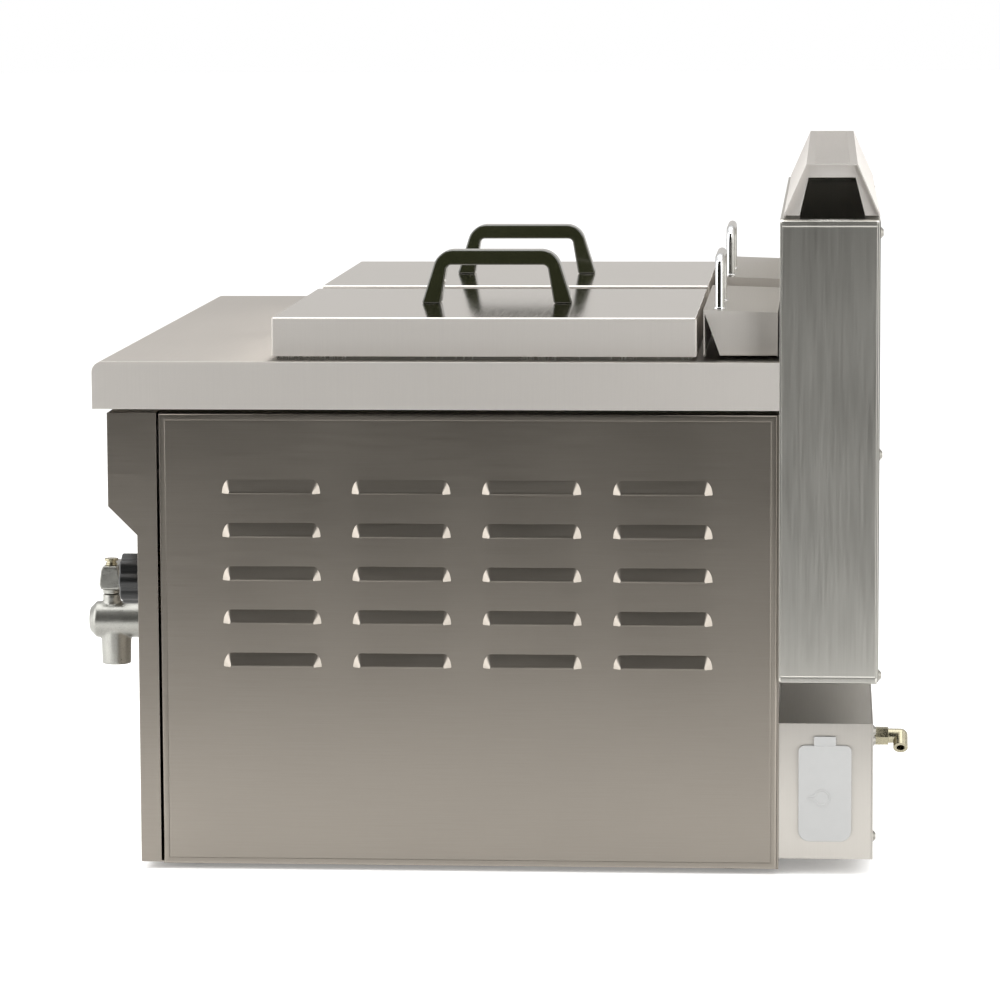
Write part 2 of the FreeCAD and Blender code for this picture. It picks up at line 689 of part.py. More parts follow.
def tap_lever(name, x):
    """Wing lever with the spindle that turns in the tap's neck."""
    body = new_body()
    half = "lever_wide / 2"
    feature(body, "Pad", sketch(body, "YZ_Plane", [[
        (f"{half} - lever_bevel / 2", "lever_skirt"),
        (f"{half}", "2 * lever_skirt"),
        (f"{half} - lever_bevel / 2", "lever_tall - lever_bevel"),
        (f"{half} - lever_bevel", "lever_tall"),
        (f"lever_bevel - {half}", "lever_tall"),
        (f"lever_bevel / 2 - {half}", "lever_tall - lever_bevel"),
        (f"-{half}", "2 * lever_skirt"),
        (f"lever_bevel / 2 - {half}", "lever_skirt"),
    ]], "-lever_long"), "lever_long + lever_back")
    feature(body, "Pad", circle(body, "XY_Plane", "neck_radius", "0", "0"), "2 * lever_skirt")
    spindle = circle(body, "XY_Plane", "spindle_radius", "0", "0", "-spindle_long")
    feature(body, "Pad", spindle, "spindle_long")
    shank = circle(body, "XY_Plane", "shank_radius", "0", "0", "lever_tall")
    feature(body, "Pocket", shank, "shank_long")
    node(name, body, x)


def lever_screw(name, x):
    """Cap screw: two rims either side of a waist, and a shank down into the lever."""
    steps = (("screw_radius - 1", "0"), ("screw_waist", "1"), ("screw_radius", "2"))
    rims = [
        rod(radius, "screw_step", "0", "-lever_y", f"lever_top + {level} * screw_step", "z")
        for radius, level in steps
    ]
    shank = rod("shank_radius", "shank_long", "0", "-lever_y", "lever_top", "-z")
    node(name, join([*rims, shank]), x)


def lid(name, x):
    """Folded lid whose turned-in hem sits on the tank's rim."""
    body = new_body()
    blank = sketch(body, "XY_Plane", [rectangle(
        middle("lid_wide"), middle("lid_deep", "tank_mid"),
    )], "lid_low")
    feature(body, "Pad", blank, "lid_top - lid_low")
    dress(body, "Fillet", "lid_round",
          lambda spot, way: along(way, "z") or near(spot.z, "lid_top"))
    cavity = sketch(body, "XY_Plane", [rectangle(
        middle("lid_wide - 2 * sheet"), middle("lid_deep - 2 * sheet", "tank_mid"),
    )], "lid_low + sheet")
    feature(body, "Pocket", cavity, "lid_top - lid_low - 2 * sheet", reverse=True)
    mouth = sketch(body, "XY_Plane", [rectangle(
        middle("lid_wide - 2 * hem"), middle("lid_deep - 2 * hem", "tank_mid"),
    )], "lid_low - sheet")
    feature(body, "Pocket", mouth, "3 * sheet", reverse=True)
    node(name, body, x)


def lid_grip(name, x):
    """Arched grip: two leaning legs, a straight bar, rounded shoulders and edges."""
    body = new_body()
    outer = "grip_half"
    inner = "(grip_half - grip_foot)"
    arch = []
    for side in (-1, 1):
        leg = [
            (f"tank_mid + {side} * {outer}", "lid_top"),
            (f"tank_mid + {side} * ({outer} - grip_lean - 2)", "grip_top"),
        ]
        arch += leg if side == -1 else leg[::-1]
    for side in (1, -1):
        leg = [
            (f"tank_mid + {side} * {inner}", "lid_top"),
            (f"tank_mid + {side} * ({inner} - grip_lean / 2)", "grip_top - grip_bar"),
        ]
        arch += leg if side == 1 else leg[::-1]
    feature(body, "Pad", sketch(body, "YZ_Plane", [arch]), "grip_wide", midplane=True)
    dress(body, "Fillet", "grip_round",
          lambda spot, way: along(way, "x") and near(spot.z, "grip_top"))
    dress(body, "Fillet", "grip_inner",
          lambda spot, way: along(way, "x") and near(spot.z, "grip_top - grip_bar"))

    def outer_edge(spot, way):
        """True for the grip's top edges and for the outside edges of its two legs."""
        leg = abs(spot.y - value("tank_mid")) > value("grip_half - grip_foot / 2")
        return near(spot.z, "grip_top") or (abs(way.z) > 0.5 and leg)

    dress(body, "Chamfer", "grip_bevel", outer_edge)
    node(name, body, x)


MODULE_PARTS = {
    "tank": tank, "thermostat_bulb": thermostat_bulb, "heat_shield": heat_shield,
    "burner": burner, "burner_feed": burner_feed, "pilot": pilot, "gas_valve": gas_valve,
    "drain_pipe": drain_pipe, "drain_tap": drain_tap, "lever_screw": lever_screw,
    "lid": lid, "lid_grip": lid_grip,
}
for word, side in SIDES.items():
    for stem, build in MODULE_PARTS.items():
        build(f"{stem}_{word}", f"{side} * module")
    for stem, build in (("valve_stem", valve_stem), ("knob", knob)):
        build(f"{stem}_{word}", f"{side} * module + knob_side")
        bind(NODES[-1], Placement__Base__z="foot_tall + knob_z")
    tap_lever(f"tap_lever_{word}", f"{side} * module")
    bind(NODES[-1], Placement__Base__y="(reach_front - reach_rear) / 2 - lever_y")
    bind(NODES[-1], Placement__Base__z="foot_tall + lever_low")

# ---- gas pipework

main_depth = middle("main_size", "main_y")
main_height = middle("main_size", "main_z")
node("gas_manifold", cut(
    box(middle("2 * main_half"), main_depth, main_height),
    [box(middle("2 * (main_half - main_wall)"),
         middle("main_size - 2 * main_wall", "main_y"),
         middle("main_size - 2 * main_wall", "main_z"))],
))
node("supply_pipe", join([
    rod("pipe_radius", "ibox_back - main_y", "pipe_x", "main_y", "pipe_z", "y"),
    ball("pipe_radius", "pipe_x", "main_y", "pipe_z"),
    rod("pipe_radius", "main_z - main_size / 2 - pipe_z", "pipe_x", "main_y", "pipe_z", "z"),
]))

nut = doc.addObject("Part::Prism", "Nut")
bind(nut, Circumradius="hex_flats / sqrt(3)", Height="hex_long")
nut.Placement = FreeCAD.Placement(Vector(), TURNS["y"])
place(nut, "pipe_x", "ibox_back", "pipe_z")
node("gas_inlet", cut(join([
    nut,
    rod("elbow_radius", "elbow_out", "pipe_x", "elbow_y - elbow_out", "pipe_z", "y"),
    ball("elbow_radius", "pipe_x", "elbow_y", "pipe_z"),
    rod("elbow_radius", "nozzle_long", "pipe_x", "elbow_y", "pipe_z", "nozzle"),
]), [rod("nozzle_bore", "2 * nozzle_long", "pipe_x", "elbow_y", "pipe_z", "nozzle")]))

# ---- ignition box, its cell and its cover

ibox_width = middle("2 * ibox_half")
ibox_height = ("ibox_low", "ibox_top")
holder_height = ("holder_low + holder_in", "holder_top - holder_in")
holder_side = middle("holder_wide - 2 * holder_in", "cell_y")
node("ignition_box", cut(
    box(ibox_width, ("deck_deep", "ibox_rear"), ibox_height),
    [box(middle("2 * (ibox_half - sheet)"), ("deck_deep + sheet", "ibox_rear + sheet"),
         ("ibox_low + sheet", "ibox_top - sheet")),
     rod("pipe_radius + pipe_gap", "4 * sheet", "pipe_x", "deck_deep - sheet", "pipe_z", "y"),
     box(("ibox_half - 2 * sheet", "ibox_half + sheet"), holder_side, holder_height)],
))
node("ignition_box_cover", cut(
    box(ibox_width, ("ibox_rear", "ibox_back"), ibox_height),
    [rod("pipe_radius", "4 * sheet", "pipe_x", "ibox_rear - sheet", "pipe_z", "y")],
))
node("igniter_module", box(
    ("module_x", "module_x + module_wide"), middle("module_deep", "cell_y"),
    ("ibox_low + sheet", "ibox_low + sheet + module_tall"),
))


def plate_outline(body, offset):
    """The holder's outline on its end face: square above, swept corners below."""
    y_ends = middle("holder_wide", "cell_y")
    sweep, turn = "cover_sweep", "cover_round"
    return sketch(body, "YZ_Plane", [[
        (y_ends[0], f"holder_low + {sweep}"),
        (f"{y_ends[0]} + {sweep} / 4", f"holder_low + {sweep} / 4"),
        (f"{y_ends[0]} + {sweep}", "holder_low"),
        (f"{y_ends[1]} - {sweep}", "holder_low"),
        (f"{y_ends[1]} - {sweep} / 4", f"holder_low + {sweep} / 4"),
        (y_ends[1], f"holder_low + {sweep}"),
        (y_ends[1], f"holder_top - {turn}"),
        (f"{y_ends[1]} - {turn} / 3", f"holder_top - {turn} / 3"),
        (f"{y_ends[1]} - {turn}", "holder_top"),
        (f"{y_ends[0]} + {turn}", "holder_top"),
        (f"{y_ends[0]} + {turn} / 3", f"holder_top - {turn} / 3"),
        (y_ends[0], f"holder_top - {turn}"),
    ]], offset)


holder = new_body()
feature(holder, "Pad", plate_outline(holder, "ibox_half"), "holder_lip")
sleeve = sketch(holder, "YZ_Plane", [rectangle(holder_side, holder_height)],
                "ibox_half - holder_deep")
feature(holder, "Pad", sleeve, "holder_deep")
cavity = sketch(holder, "YZ_Plane", [rectangle(
    middle("holder_wide - 2 * holder_in - 2 * holder_wall", "cell_y"),
    ("holder_low + holder_in + holder_wall", "holder_top - holder_in - holder_wall"),
)], "ibox_half - holder_deep + holder_wall")
feature(holder, "Pocket", cavity, "holder_deep + holder_lip", reverse=True)
node("battery_holder", holder)
node("battery_cell", rod(
    "cell_radius", "cell_tall", "ibox_half - holder_deep + holder_wall + cell_radius",
    "cell_y", "holder_low + holder_in + holder_wall", "z",
))

cover = new_body()
cover_face = "ibox_half + holder_lip + cover_gap"
feature(cover, "Pad", plate_outline(cover, cover_face), "cover_thick")
tab = sketch(cover, "YZ_Plane", [rectangle(
    middle("tab_wide", "cell_y"), ("holder_top - cover_round", "holder_top + tab_tall"),
)], cover_face)
feature(cover, "Pad", tab, "cover_thick")
node("battery_cover", cover)

# ---- flue, its rear panel and its cap

duct = new_body()
ends = middle("2 * flue_half")
feature(duct, "Pad", sketch(
    duct, "XZ_Plane", [rectangle(ends, ("flue_low", "flue_top"))], "-flue_back",
), "flue_back - deck_deep")
dress(duct, "Fillet", "flue_round", lambda spot, way: along(way, "y"))
turn_x = "flue_half - flue_round"
feature(duct, "Pocket", sketch(duct, "XZ_Plane", [[
    *corner(turn_x, "flue_top - flue_round", "flue_round - sheet", 0),
    *corner(f"-({turn_x})", "flue_top - flue_round", "flue_round - sheet", 90),
    *corner(f"-({turn_x})", "flue_low + flue_round", "flue_round - sheet", 180),
    *corner(turn_x, "flue_low + flue_round", "flue_round - sheet", 270),
]], "-flue_back"), "flue_back - deck_deep - sheet", reverse=True)
slot = sketch(duct, "XY_Plane", [rectangle(
    middle("2 * slot_half"), ("slot_front", "slot_rear"),
)], "flue_top + sheet")
feature(duct, "Pocket", slot, "3 * sheet")
inlets = sketch(duct, "XZ_Plane", [rectangle(
    middle("vent_wide + 2 * vent_gap", f"{side} * module"),
    ("vent_low - vent_gap", "vent_low + vent_tall + vent_gap"),
) for side in SIDES.values()], "-deck_deep - 2 * sheet")
feature(duct, "Pocket", inlets, "3 * sheet", reverse=True)
node("flue_duct", duct)

node("flue_back_panel", box(
    middle("2 * flue_half - flue_round / 1.5"), ("flue_back", "flue_rear"),
    ("flue_low + flue_round / 3", "flue_top - flue_round / 3"),
))

cap = new_body()
wall = "1.1 * sheet"
feature(cap, "Pad", sketch(cap, "YZ_Plane", [[
    ("cap_front", "cap_low"),
    ("ridge_front", "cap_top"),
    ("ridge_rear", "cap_top"),
    ("cap_rear", "cap_low"),
    (f"cap_rear - {wall}", "cap_low"),
    (f"ridge_rear - {wall} / 2", "cap_top - sheet"),
    (f"ridge_front + {wall} / 2", "cap_top - sheet"),
    (f"cap_front + {wall}", "cap_low"),
]]), "2 * cap_half", midplane=True)
for side in SIDES.values():
    lean = "cap_lean * cap_band / (cap_rise - cap_lift)"
    frame = sketch(cap, "YZ_Plane", [[
        ("cap_front + sheet / 2", "cap_low"),
        ("ridge_front + sheet / 4", "cap_top - sheet / 2"),
        ("ridge_rear - sheet / 4", "cap_top - sheet / 2"),
        ("cap_rear - sheet / 2", "cap_low"),
        ("slot_rear", "cap_low"),
        (f"ridge_rear + {lean} - 6 * sheet", "cap_top - cap_band"),
        (f"ridge_front - {lean} + 6 * sheet", "cap_top - cap_band"),
        ("slot_front", "cap_low"),
    ]], f"{side} * (cap_half - cap_inset)")
    feature(cap, "Pad", frame, "sheet", midplane=True)
for side in SIDES.values():
    for across in (("cap_front", f"cap_front + {wall}"), ("cap_rear - " + wall, "cap_rear")):
        tab = sketch(cap, "XY_Plane", [rectangle(
            middle("cap_tab", f"{side} * (cap_half - 2 * cap_tab)"), across,
        )], "flue_top")
        feature(cap, "Pad", tab, "cap_lift + sheet / 2")
port_width = middle("cap_port", "(1 - cap_ports) * cap_pitch / 2")
port = sketch(cap, "XY_Plane", [rectangle(
    port_width, ("ridge_front + cap_port_in", "ridge_rear - cap_port_in"),
)], "cap_top + sheet")
ports = [feature(cap, "Pocket", port, "3 * sheet")]
doc.recompute()
row_of_ports = cap.newObject("PartDesign::LinearPattern", "Ports")
row_of_ports.Originals = ports
row_of_ports.Direction = (role(cap, "X_Axis"), [""])
bind(row_of_ports, Length="(cap_ports - 1) * cap_pitch")
row_of_ports.Occurrences = DIMENSIONS["cap_ports"]
cap.Tip = row_of_ports
node("flue_cap", cap)


def dome(x, y, z):
    return rod("dome_radius", "dome_tall", x, y, z, "y", "dome_radius / 2")


domes = [
    dome(f"{side} * (deck_wide / 2 - dome_in)", "flue_rear", height)
    for side in SIDES.values()
    for height in ("dome_top", "dome_middle", "dome_low")
]
domes += [
    dome(f"{side} * (deck_wide / 2 - dome_in - dome_radius)", "ibox_back", height)
    for side in SIDES.values()
    for height in ("dome_box", "dome_foot")
]
domes += [
    dome(f"pipe_x + {side} * dome_side", "ibox_back", "pipe_z") for side in SIDES.values()
]
node("rear_screws", join(domes))

# ---- rear shelves and their lifting loops


def shelf(name, x):
    """Folded shelf with gusseted ends and four tabs that stand just off the deck."""
    body = new_body()
    rear_top = "shelf_top - shelf_slope"
    feature(body, "Pad", sketch(body, "YZ_Plane", [[
        ("shelf_front", "shelf_low"),
        ("shelf_front", "shelf_top"),
        ("shelf_rear", rear_top),
        ("shelf_rear", "shelf_low"),
        ("shelf_rear - sheet", "shelf_low"),
        ("shelf_rear - sheet", f"{rear_top} - sheet"),
        ("shelf_front + sheet", "shelf_top - sheet"),
        ("shelf_front + sheet", "shelf_low"),
    ]]), "shelf_wide", midplane=True)
    for side in SIDES.values():
        gusset = sketch(body, "YZ_Plane", [[
            ("shelf_front", "shelf_top"),
            ("shelf_rear", rear_top),
            ("shelf_rear", "shelf_low"),
            ("shelf_front + gusset_cut", "shelf_low"),
        ]], f"{side} * (shelf_wide - sheet) / 2")
        feature(body, "Pad", gusset, "sheet", midplane=True)
        for across in (("shelf_front", "shelf_front + sheet"), ("shelf_rear - sheet", "shelf_rear")):
            tab = sketch(body, "XY_Plane", [rectangle(
                middle("shelf_tab", f"{side} * (shelf_wide / 2 - 2 * shelf_tab)"), across,
            )], "deck_top + rest_gap")
            feature(body, "Pad", tab, "shelf_gap + sheet")
    for leg in ("0", "loop_span"):
        hole = circle(body, "XY_Plane", "loop_rod", f"shelf_wide / 2 - loop_edge - {leg}",
                      "loop_y", "shelf_top + sheet")
        feature(body, "Pocket", hole, "4 * sheet")
    node(name, body, x)


def bend(x, y, z, turn):
    """A quarter bend of the loop's rod, standing upright."""
    quarter = doc.addObject("Part::Torus", "Bend")
    bind(quarter, Radius1="loop_bend", Radius2="loop_rod")
    quarter.Angle3 = 90
    upright = FreeCAD.Rotation(Vector(1, 0, 0), 90)
    quarter.Placement = FreeCAD.Placement(Vector(), FreeCAD.Rotation(Vector(0, 0, 1), turn) * upright)
    place(quarter, x, y, z)
    return quarter


def lifting_loop(name, x):
    """Bent rod standing through the shelf, wide enough for two fingers."""
    near_leg = "(shelf_wide / 2 - loop_edge)"
    far_leg = f"({near_leg} - loop_span)"
    bar_z = "loop_top - loop_rod"
    root = "shelf_top - loop_root"
    node(name, join([
        *[rod("loop_rod", f"{bar_z} - loop_bend - ({root})", leg, "loop_y", root, "z")
          for leg in (near_leg, far_leg)],
        rod("loop_rod", "loop_span - 2 * loop_bend", f"{far_leg} + loop_bend", "loop_y",
            bar_z, "x"),
        bend(f"{near_leg} - loop_bend", "loop_y", f"{bar_z} - loop_bend", 0),
        bend(f"{far_leg} + loop_bend", "loop_y", f"{bar_z} - loop_bend", 180),
    ]), x)


for word, side in SIDES.items():
    shelf(f"rear_shelf_{word}", f"{side} * (module + shelf_shift)")
    lifting_loop(f"lifting_loop_{word}", f"{side} * (module + shelf_shift)")

# ---- check and write

doc.recompute()
faults = []
for obj in doc.Objects:
    if "Invalid" in obj.State or "Error" in obj.State:
        faults.append(f"{obj.Name}: {obj.State}")
for obj in NODES:
    if obj.Shape.isNull() or not obj.Shape.isValid():
        faults.append(f"{obj.Label}: no valid shape")
if faults:
    raise RuntimeError("; ".join(faults))
os.makedirs("parts", exist_ok=True)
for obj in NODES:
    obj.Shape.exportStep(f"parts/{obj.Label}.step")
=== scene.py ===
# %% [markdown]
# # A countertop gas fryer with two tanks
# The cabinet is folded stainless sheet, brushed so that fine lines run along it. On it sit
# two lids with black grips, two rear shelves with bright lifting loops, and a tall flue.
# The solid model of every part is loaded first, in metres, with the front facing -Y.
# Some of its parts only need a finish. Others are modelled again here with more detail.

import math

import bmesh
import bpy
from mathutils import Matrix, Vector


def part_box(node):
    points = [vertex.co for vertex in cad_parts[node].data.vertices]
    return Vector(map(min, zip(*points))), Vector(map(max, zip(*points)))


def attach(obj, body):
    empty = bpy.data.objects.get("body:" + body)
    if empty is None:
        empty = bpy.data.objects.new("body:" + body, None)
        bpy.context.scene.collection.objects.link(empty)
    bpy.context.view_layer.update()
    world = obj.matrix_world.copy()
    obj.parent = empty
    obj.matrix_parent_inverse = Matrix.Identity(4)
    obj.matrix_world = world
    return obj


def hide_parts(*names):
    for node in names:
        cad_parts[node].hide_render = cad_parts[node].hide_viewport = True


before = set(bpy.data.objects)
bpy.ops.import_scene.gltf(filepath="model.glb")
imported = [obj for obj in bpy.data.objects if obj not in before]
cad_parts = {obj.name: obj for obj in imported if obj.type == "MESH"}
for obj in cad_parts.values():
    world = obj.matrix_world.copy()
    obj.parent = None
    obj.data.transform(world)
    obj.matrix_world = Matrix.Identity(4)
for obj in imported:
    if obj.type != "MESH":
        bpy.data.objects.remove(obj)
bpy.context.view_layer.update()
MM = 0.001
SIDES = ("right", "left")
print("nodes loaded:", len(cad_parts))

# %% [markdown]
# ## Working as by hand
# Each operator acts on whatever is selected, so every piece starts with nothing selected.
# A block or a bar is added at its real size and place, its place is moved into its mesh,
# and then faces or edges are picked by where they are and shaped.


# %% Selecting, starting shapes and picking
def deselect_all():
    if bpy.context.object and bpy.context.object.mode != "OBJECT":
        bpy.ops.object.mode_set(mode="OBJECT")
    bpy.ops.object.select_all(action="DESELECT")


def make_active(piece):
    deselect_all()
    piece.select_set(True)
    bpy.context.view_layer.objects.active = piece


def settle(piece):
    """Move the object's place, turn and scale into its mesh."""
    make_active(piece)
    bpy.ops.object.transform_apply(location=True, rotation=True, scale=True)
    return piece


def block(low, high):
    deselect_all()
    low, high = Vector(low), Vector(high)
    bpy.ops.mesh.primitive_cube_add(size=1, location=(low + high) / 2)
    piece = bpy.context.object
    piece.scale = high - low
    return settle(piece)


def bar(radius, start, end, sides=32):
    deselect_all()
    start, end = Vector(start), Vector(end)
    turn = (end - start).to_track_quat("Z", "Y").to_euler()
    bpy.ops.mesh.primitive_cylinder_add(
        vertices=sides, radius=radius, depth=(end - start).length,
        location=(start + end) / 2, rotation=turn,
    )
    return settle(bpy.context.object)


def pick(piece, kind, test):
    """In edit mode, select the parts of one kind whose middle and direction pass the test."""
    make_active(piece)
    bpy.ops.object.mode_set(mode="EDIT")
    bpy.ops.mesh.select_mode(type=kind)
    bpy.ops.mesh.select_all(action="DESELECT")
    mesh = bmesh.from_edit_mesh(piece.data)
    parts = {"FACE": mesh.faces, "EDGE": mesh.edges, "VERT": mesh.verts}[kind]
    chosen = 0
    for part in parts:
        if kind == "FACE":
            middle, way = part.calc_center_median(), part.normal
        elif kind == "VERT":
            middle, way = part.co, part.normal
        else:
            ends = [vertex.co for vertex in part.verts]
            middle, way = (ends[0] + ends[1]) / 2, (ends[1] - ends[0]).normalized()
        if test(middle, way):
            part.select_set(True)
            chosen += 1
    bmesh.update_edit_mesh(piece.data)
    return chosen


def back_to_object():
    bpy.ops.object.mode_set(mode="OBJECT")


def bevel_edges(piece, width, segments, test):
    pick(piece, "EDGE", test)
    bpy.ops.mesh.bevel(offset=width, segments=segments, affect="EDGES", clamp_overlap=True)
    back_to_object()


# %% Modifiers, copies and joining
NEAR = 0.1 * MM
FOLD_ANGLE = math.radians(35)
SAME_POINT = 0.001 * MM
SAME_PLANE = math.radians(0.5)


def apply_modifier(piece, kind, **settings):
    make_active(piece)
    modifier = piece.modifiers.new(kind.title(), kind)
    for name, value in settings.items():
        setattr(modifier, name, value)
    bpy.ops.object.modifier_apply(modifier=modifier.name)


def soften(piece, width, segments=2):
    """Break every sharp edge with a small round of the given width."""
    apply_modifier(piece, "BEVEL", width=width, segments=segments,
                   limit_method="ANGLE", angle_limit=FOLD_ANGLE)


def join_all(pieces):
    deselect_all()
    for piece in pieces:
        piece.select_set(True)
    bpy.context.view_layer.objects.active = pieces[0]
    bpy.ops.object.join()
    return bpy.context.object


def copy_moved(piece, shift):
    """A copy of the piece with its own mesh, moved by the shift."""
    twin = bpy.data.objects.new(piece.name, piece.data.copy())
    bpy.context.scene.collection.objects.link(twin)
    twin.location = shift
    return settle(twin)


def merged_copy(node_name):
    """A copy of a loaded part whose loose triangles are merged into flat faces."""
    piece = bpy.data.objects.new(node_name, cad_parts[node_name].data.copy())
    bpy.context.scene.collection.objects.link(piece)
    make_active(piece)
    bpy.ops.object.mode_set(mode="EDIT")
    bpy.ops.mesh.select_all(action="SELECT")
    bpy.ops.mesh.remove_doubles(threshold=SAME_POINT)
    bpy.ops.mesh.dissolve_limited(angle_limit=SAME_PLANE)
    back_to_object()
    return piece


# %% Finishing a piece
SMOOTH_ANGLE = math.radians(50)


def finish_piece(piece, name, body, finish, replaces=()):
    """Smooth the rounds and keep the flats flat, then name, finish and mount the piece."""
    make_active(piece)
    bpy.ops.object.shade_smooth_by_angle(angle=SMOOTH_ANGLE)
    apply_modifier(piece, "WEIGHTED_NORMAL", keep_sharp=True, weight=90)
    piece.name = name
    piece.data.name = name
    piece.data.materials.clear()
    piece.data.materials.append(finish)
    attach(piece, body)
    if replaces:
        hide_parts(*replaces)
    print(f"{name}: {len(piece.data.polygons)} faces")
    return piece


def face_outwards(piece):
    pick(piece, "FACE", lambda spot, way: True)
    bpy.ops.mesh.normals_make_consistent(inside=False)
    back_to_object()


# %% [markdown]
# ## Finishes
# A finish starts from what the real surface is and how it was made. One function turns
# a hex colour to the linear values that Blender mixes, and one adds a node with its
# settings and links. Patterns read Object coordinates in metres, so one over a size in
# metres is the scale that draws it at that size. Every finish has a fine pattern, which
# is its grain or grit, and a broad one, which is how unevenly it was worked and wiped.


# %% Colour and node helpers
PATCH_SHARE = 0.35


def linear(hex_text):
    values = [int(hex_text[i:i + 2], 16) / 255 for i in (0, 2, 4)]
    values = [v / 12.92 if v <= 0.04045 else ((v + 0.055) / 1.055) ** 2.4 for v in values]
    return (*values, 1.0)


def add_node(tree, kind, settings=None, inputs=None):
    """Add a node, set its properties, and set or link its inputs by name or number."""
    node = tree.nodes.new(kind)
    for name, value in (settings or {}).items():
        setattr(node, name, value)
    for name, value in (inputs or {}).items():
        if isinstance(value, bpy.types.NodeSocket):
            tree.links.new(value, node.inputs[name])
        else:
            node.inputs[name].default_value = value
    return node


def new_finish(name):
    finish = bpy.data.materials.new(name)
    finish.use_nodes = True
    finish.node_tree.nodes.clear()
    print("finish:", name)
    return finish, finish.node_tree


def grain(tree, sizes, detail):
    """Soft noise whose spots have the given size along each axis, in metres."""
    place = add_node(tree, "ShaderNodeTexCoord")
    sized = add_node(tree, "ShaderNodeMapping", inputs={
        "Vector": place.outputs["Object"], "Scale": [1 / size for size in sizes]})
    noise = add_node(tree, "ShaderNodeTexNoise", inputs={
        "Vector": sized.outputs["Vector"], "Scale": 1.0, "Detail": detail})
    return noise.outputs["Fac"]


def worked_surface(name, sizes, depth, colours, roughness, broad, sockets, spread=None):
    """A finish: sizes and depth of its grain, two hex colours, and two roughness values.

    Broad is the size of its patches, sockets are the shader's own settings, and spread
    is the direction in which a brushed metal smears what it reflects.
    """
    finish, tree = new_finish(name)
    fine = grain(tree, sizes, 3.0)
    patches = grain(tree, (broad, broad, broad), 1.0)
    both = add_node(tree, "ShaderNodeMix", inputs={0: PATCH_SHARE, 2: fine, 3: patches})
    colour = add_node(tree, "ShaderNodeMix", {"data_type": "RGBA"}, {
        0: both.outputs[0], 6: linear(colours[0]), 7: linear(colours[1])})
    dulled = add_node(tree, "ShaderNodeMapRange", inputs={
        "Value": both.outputs[0], "From Min": 0.3, "From Max": 0.7,
        "To Min": roughness[0], "To Max": roughness[1]})
    dents = add_node(tree, "ShaderNodeBump", inputs={
        "Height": fine, "Distance": depth, "Strength": 1.0})
    inputs = {"Base Color": colour.outputs[2], "Roughness": dulled.outputs["Result"],
              "Normal": dents.outputs["Normal"], **sockets}
    if spread:
        across = add_node(tree, "ShaderNodeCombineXYZ", inputs=dict(zip("XYZ", spread)))
        inputs["Tangent"] = across.outputs["Vector"]
    shader = add_node(tree, "ShaderNodeBsdfPrincipled", inputs=inputs)
    add_node(tree, "ShaderNodeOutputMaterial", inputs={"Surface": shader.outputs["BSDF"]})
    return finish


# %% [markdown]
# ## Brushed stainless steel
# 304 sheet gets its grain from an abrasive belt. The scratches are about 0.1 mm wide and
# centimetres long, and they smear a reflection across themselves but not along. So the
# shader is anisotropic, and its tangent points across the scratches. A tangent that is
# square to a face has no direction in it and the face turns blotchy, so the tangent of
# the upright grain leans a little. The scratches are too fine to show, so they are drawn
# about a millimetre apart. The side panels have level scratches. The deck, the lids and
# the flue have upright ones on their sides. The patches are where the belt pressed harder.


# %% Steel finishes
FINE, LONG, BELT_PATCH = 0.9 * MM, 60 * MM, 0.12
UP, ALONG = (0, 0, 1), (0.15, 1, 0)
METAL = {"Metallic": 1.0}


def brushed_steel(name, scratch_axes, spread, colours, roughness, lean, depth=0.004 * MM):
    sizes = [LONG if axis in scratch_axes else FINE for axis in "XYZ"]
    return worked_surface(name, sizes, depth, colours, roughness, BELT_PATCH,
                          {**METAL, "Anisotropic": lean}, spread)


# This colour is darker than the steel really is: it paints shade on the side panels and the
# front, and keeps their highlights from washing out.
shaded_panel_steel = brushed_steel("brushed 304 steel darkened for painted shade, level grain", "Y", UP,
                            ("979087", "A49D94"), (0.28, 0.36), 0.85)
# This colour is lighter than the steel really is: it paints light on the deck, the lid sides,
# the shelves and the flue cap.
lit_deck_steel = brushed_steel("brushed 304 steel lightened for painted light, cross grain", "XZ", ALONG,
                           ("E2DDD7", "EEEAE5"), (0.55, 0.64), 0.92)
lid_steel = brushed_steel("polished 304 steel, cross grain", "XZ", ALONG,
                          ("D8D3CD", "E2DED9"), (0.08, 0.14), 0.7, 0.001 * MM)
flue_steel = brushed_steel("brushed 304 steel, upright grain", "Z", ALONG,
                           ("BDBBB4", "CFCDC7"), (0.32, 0.42), 0.5)
box_steel = brushed_steel("brushed 304 steel, box", "XZ", ALONG,
                          ("AEAAA4", "BAB6B0"), (0.34, 0.44), 0.8)
tank_steel = worked_surface("deep drawn steel", (2 * MM, 2 * MM, 30 * MM), 0.002 * MM,
                            ("B9B6B0", "C9C6C0"), (0.22, 0.3), 0.06, METAL)
zinc_tube = worked_surface("zinc plated tube", (3 * MM, 3 * MM, 3 * MM), 0.01 * MM,
                           ("8E9092", "A3A5A6"), (0.35, 0.45), 0.04, METAL)

# %% [markdown]
# ## Chrome, plated castings and brass
# The lifting loops are bright chrome on drawn rod, smooth enough to mirror the room. The
# taps are cast brass under dull nickel: sand casting leaves dents about a millimetre
# across that the plating can't hide. The gas elbow is thinly plated brass, so a warm
# yellow shows through.

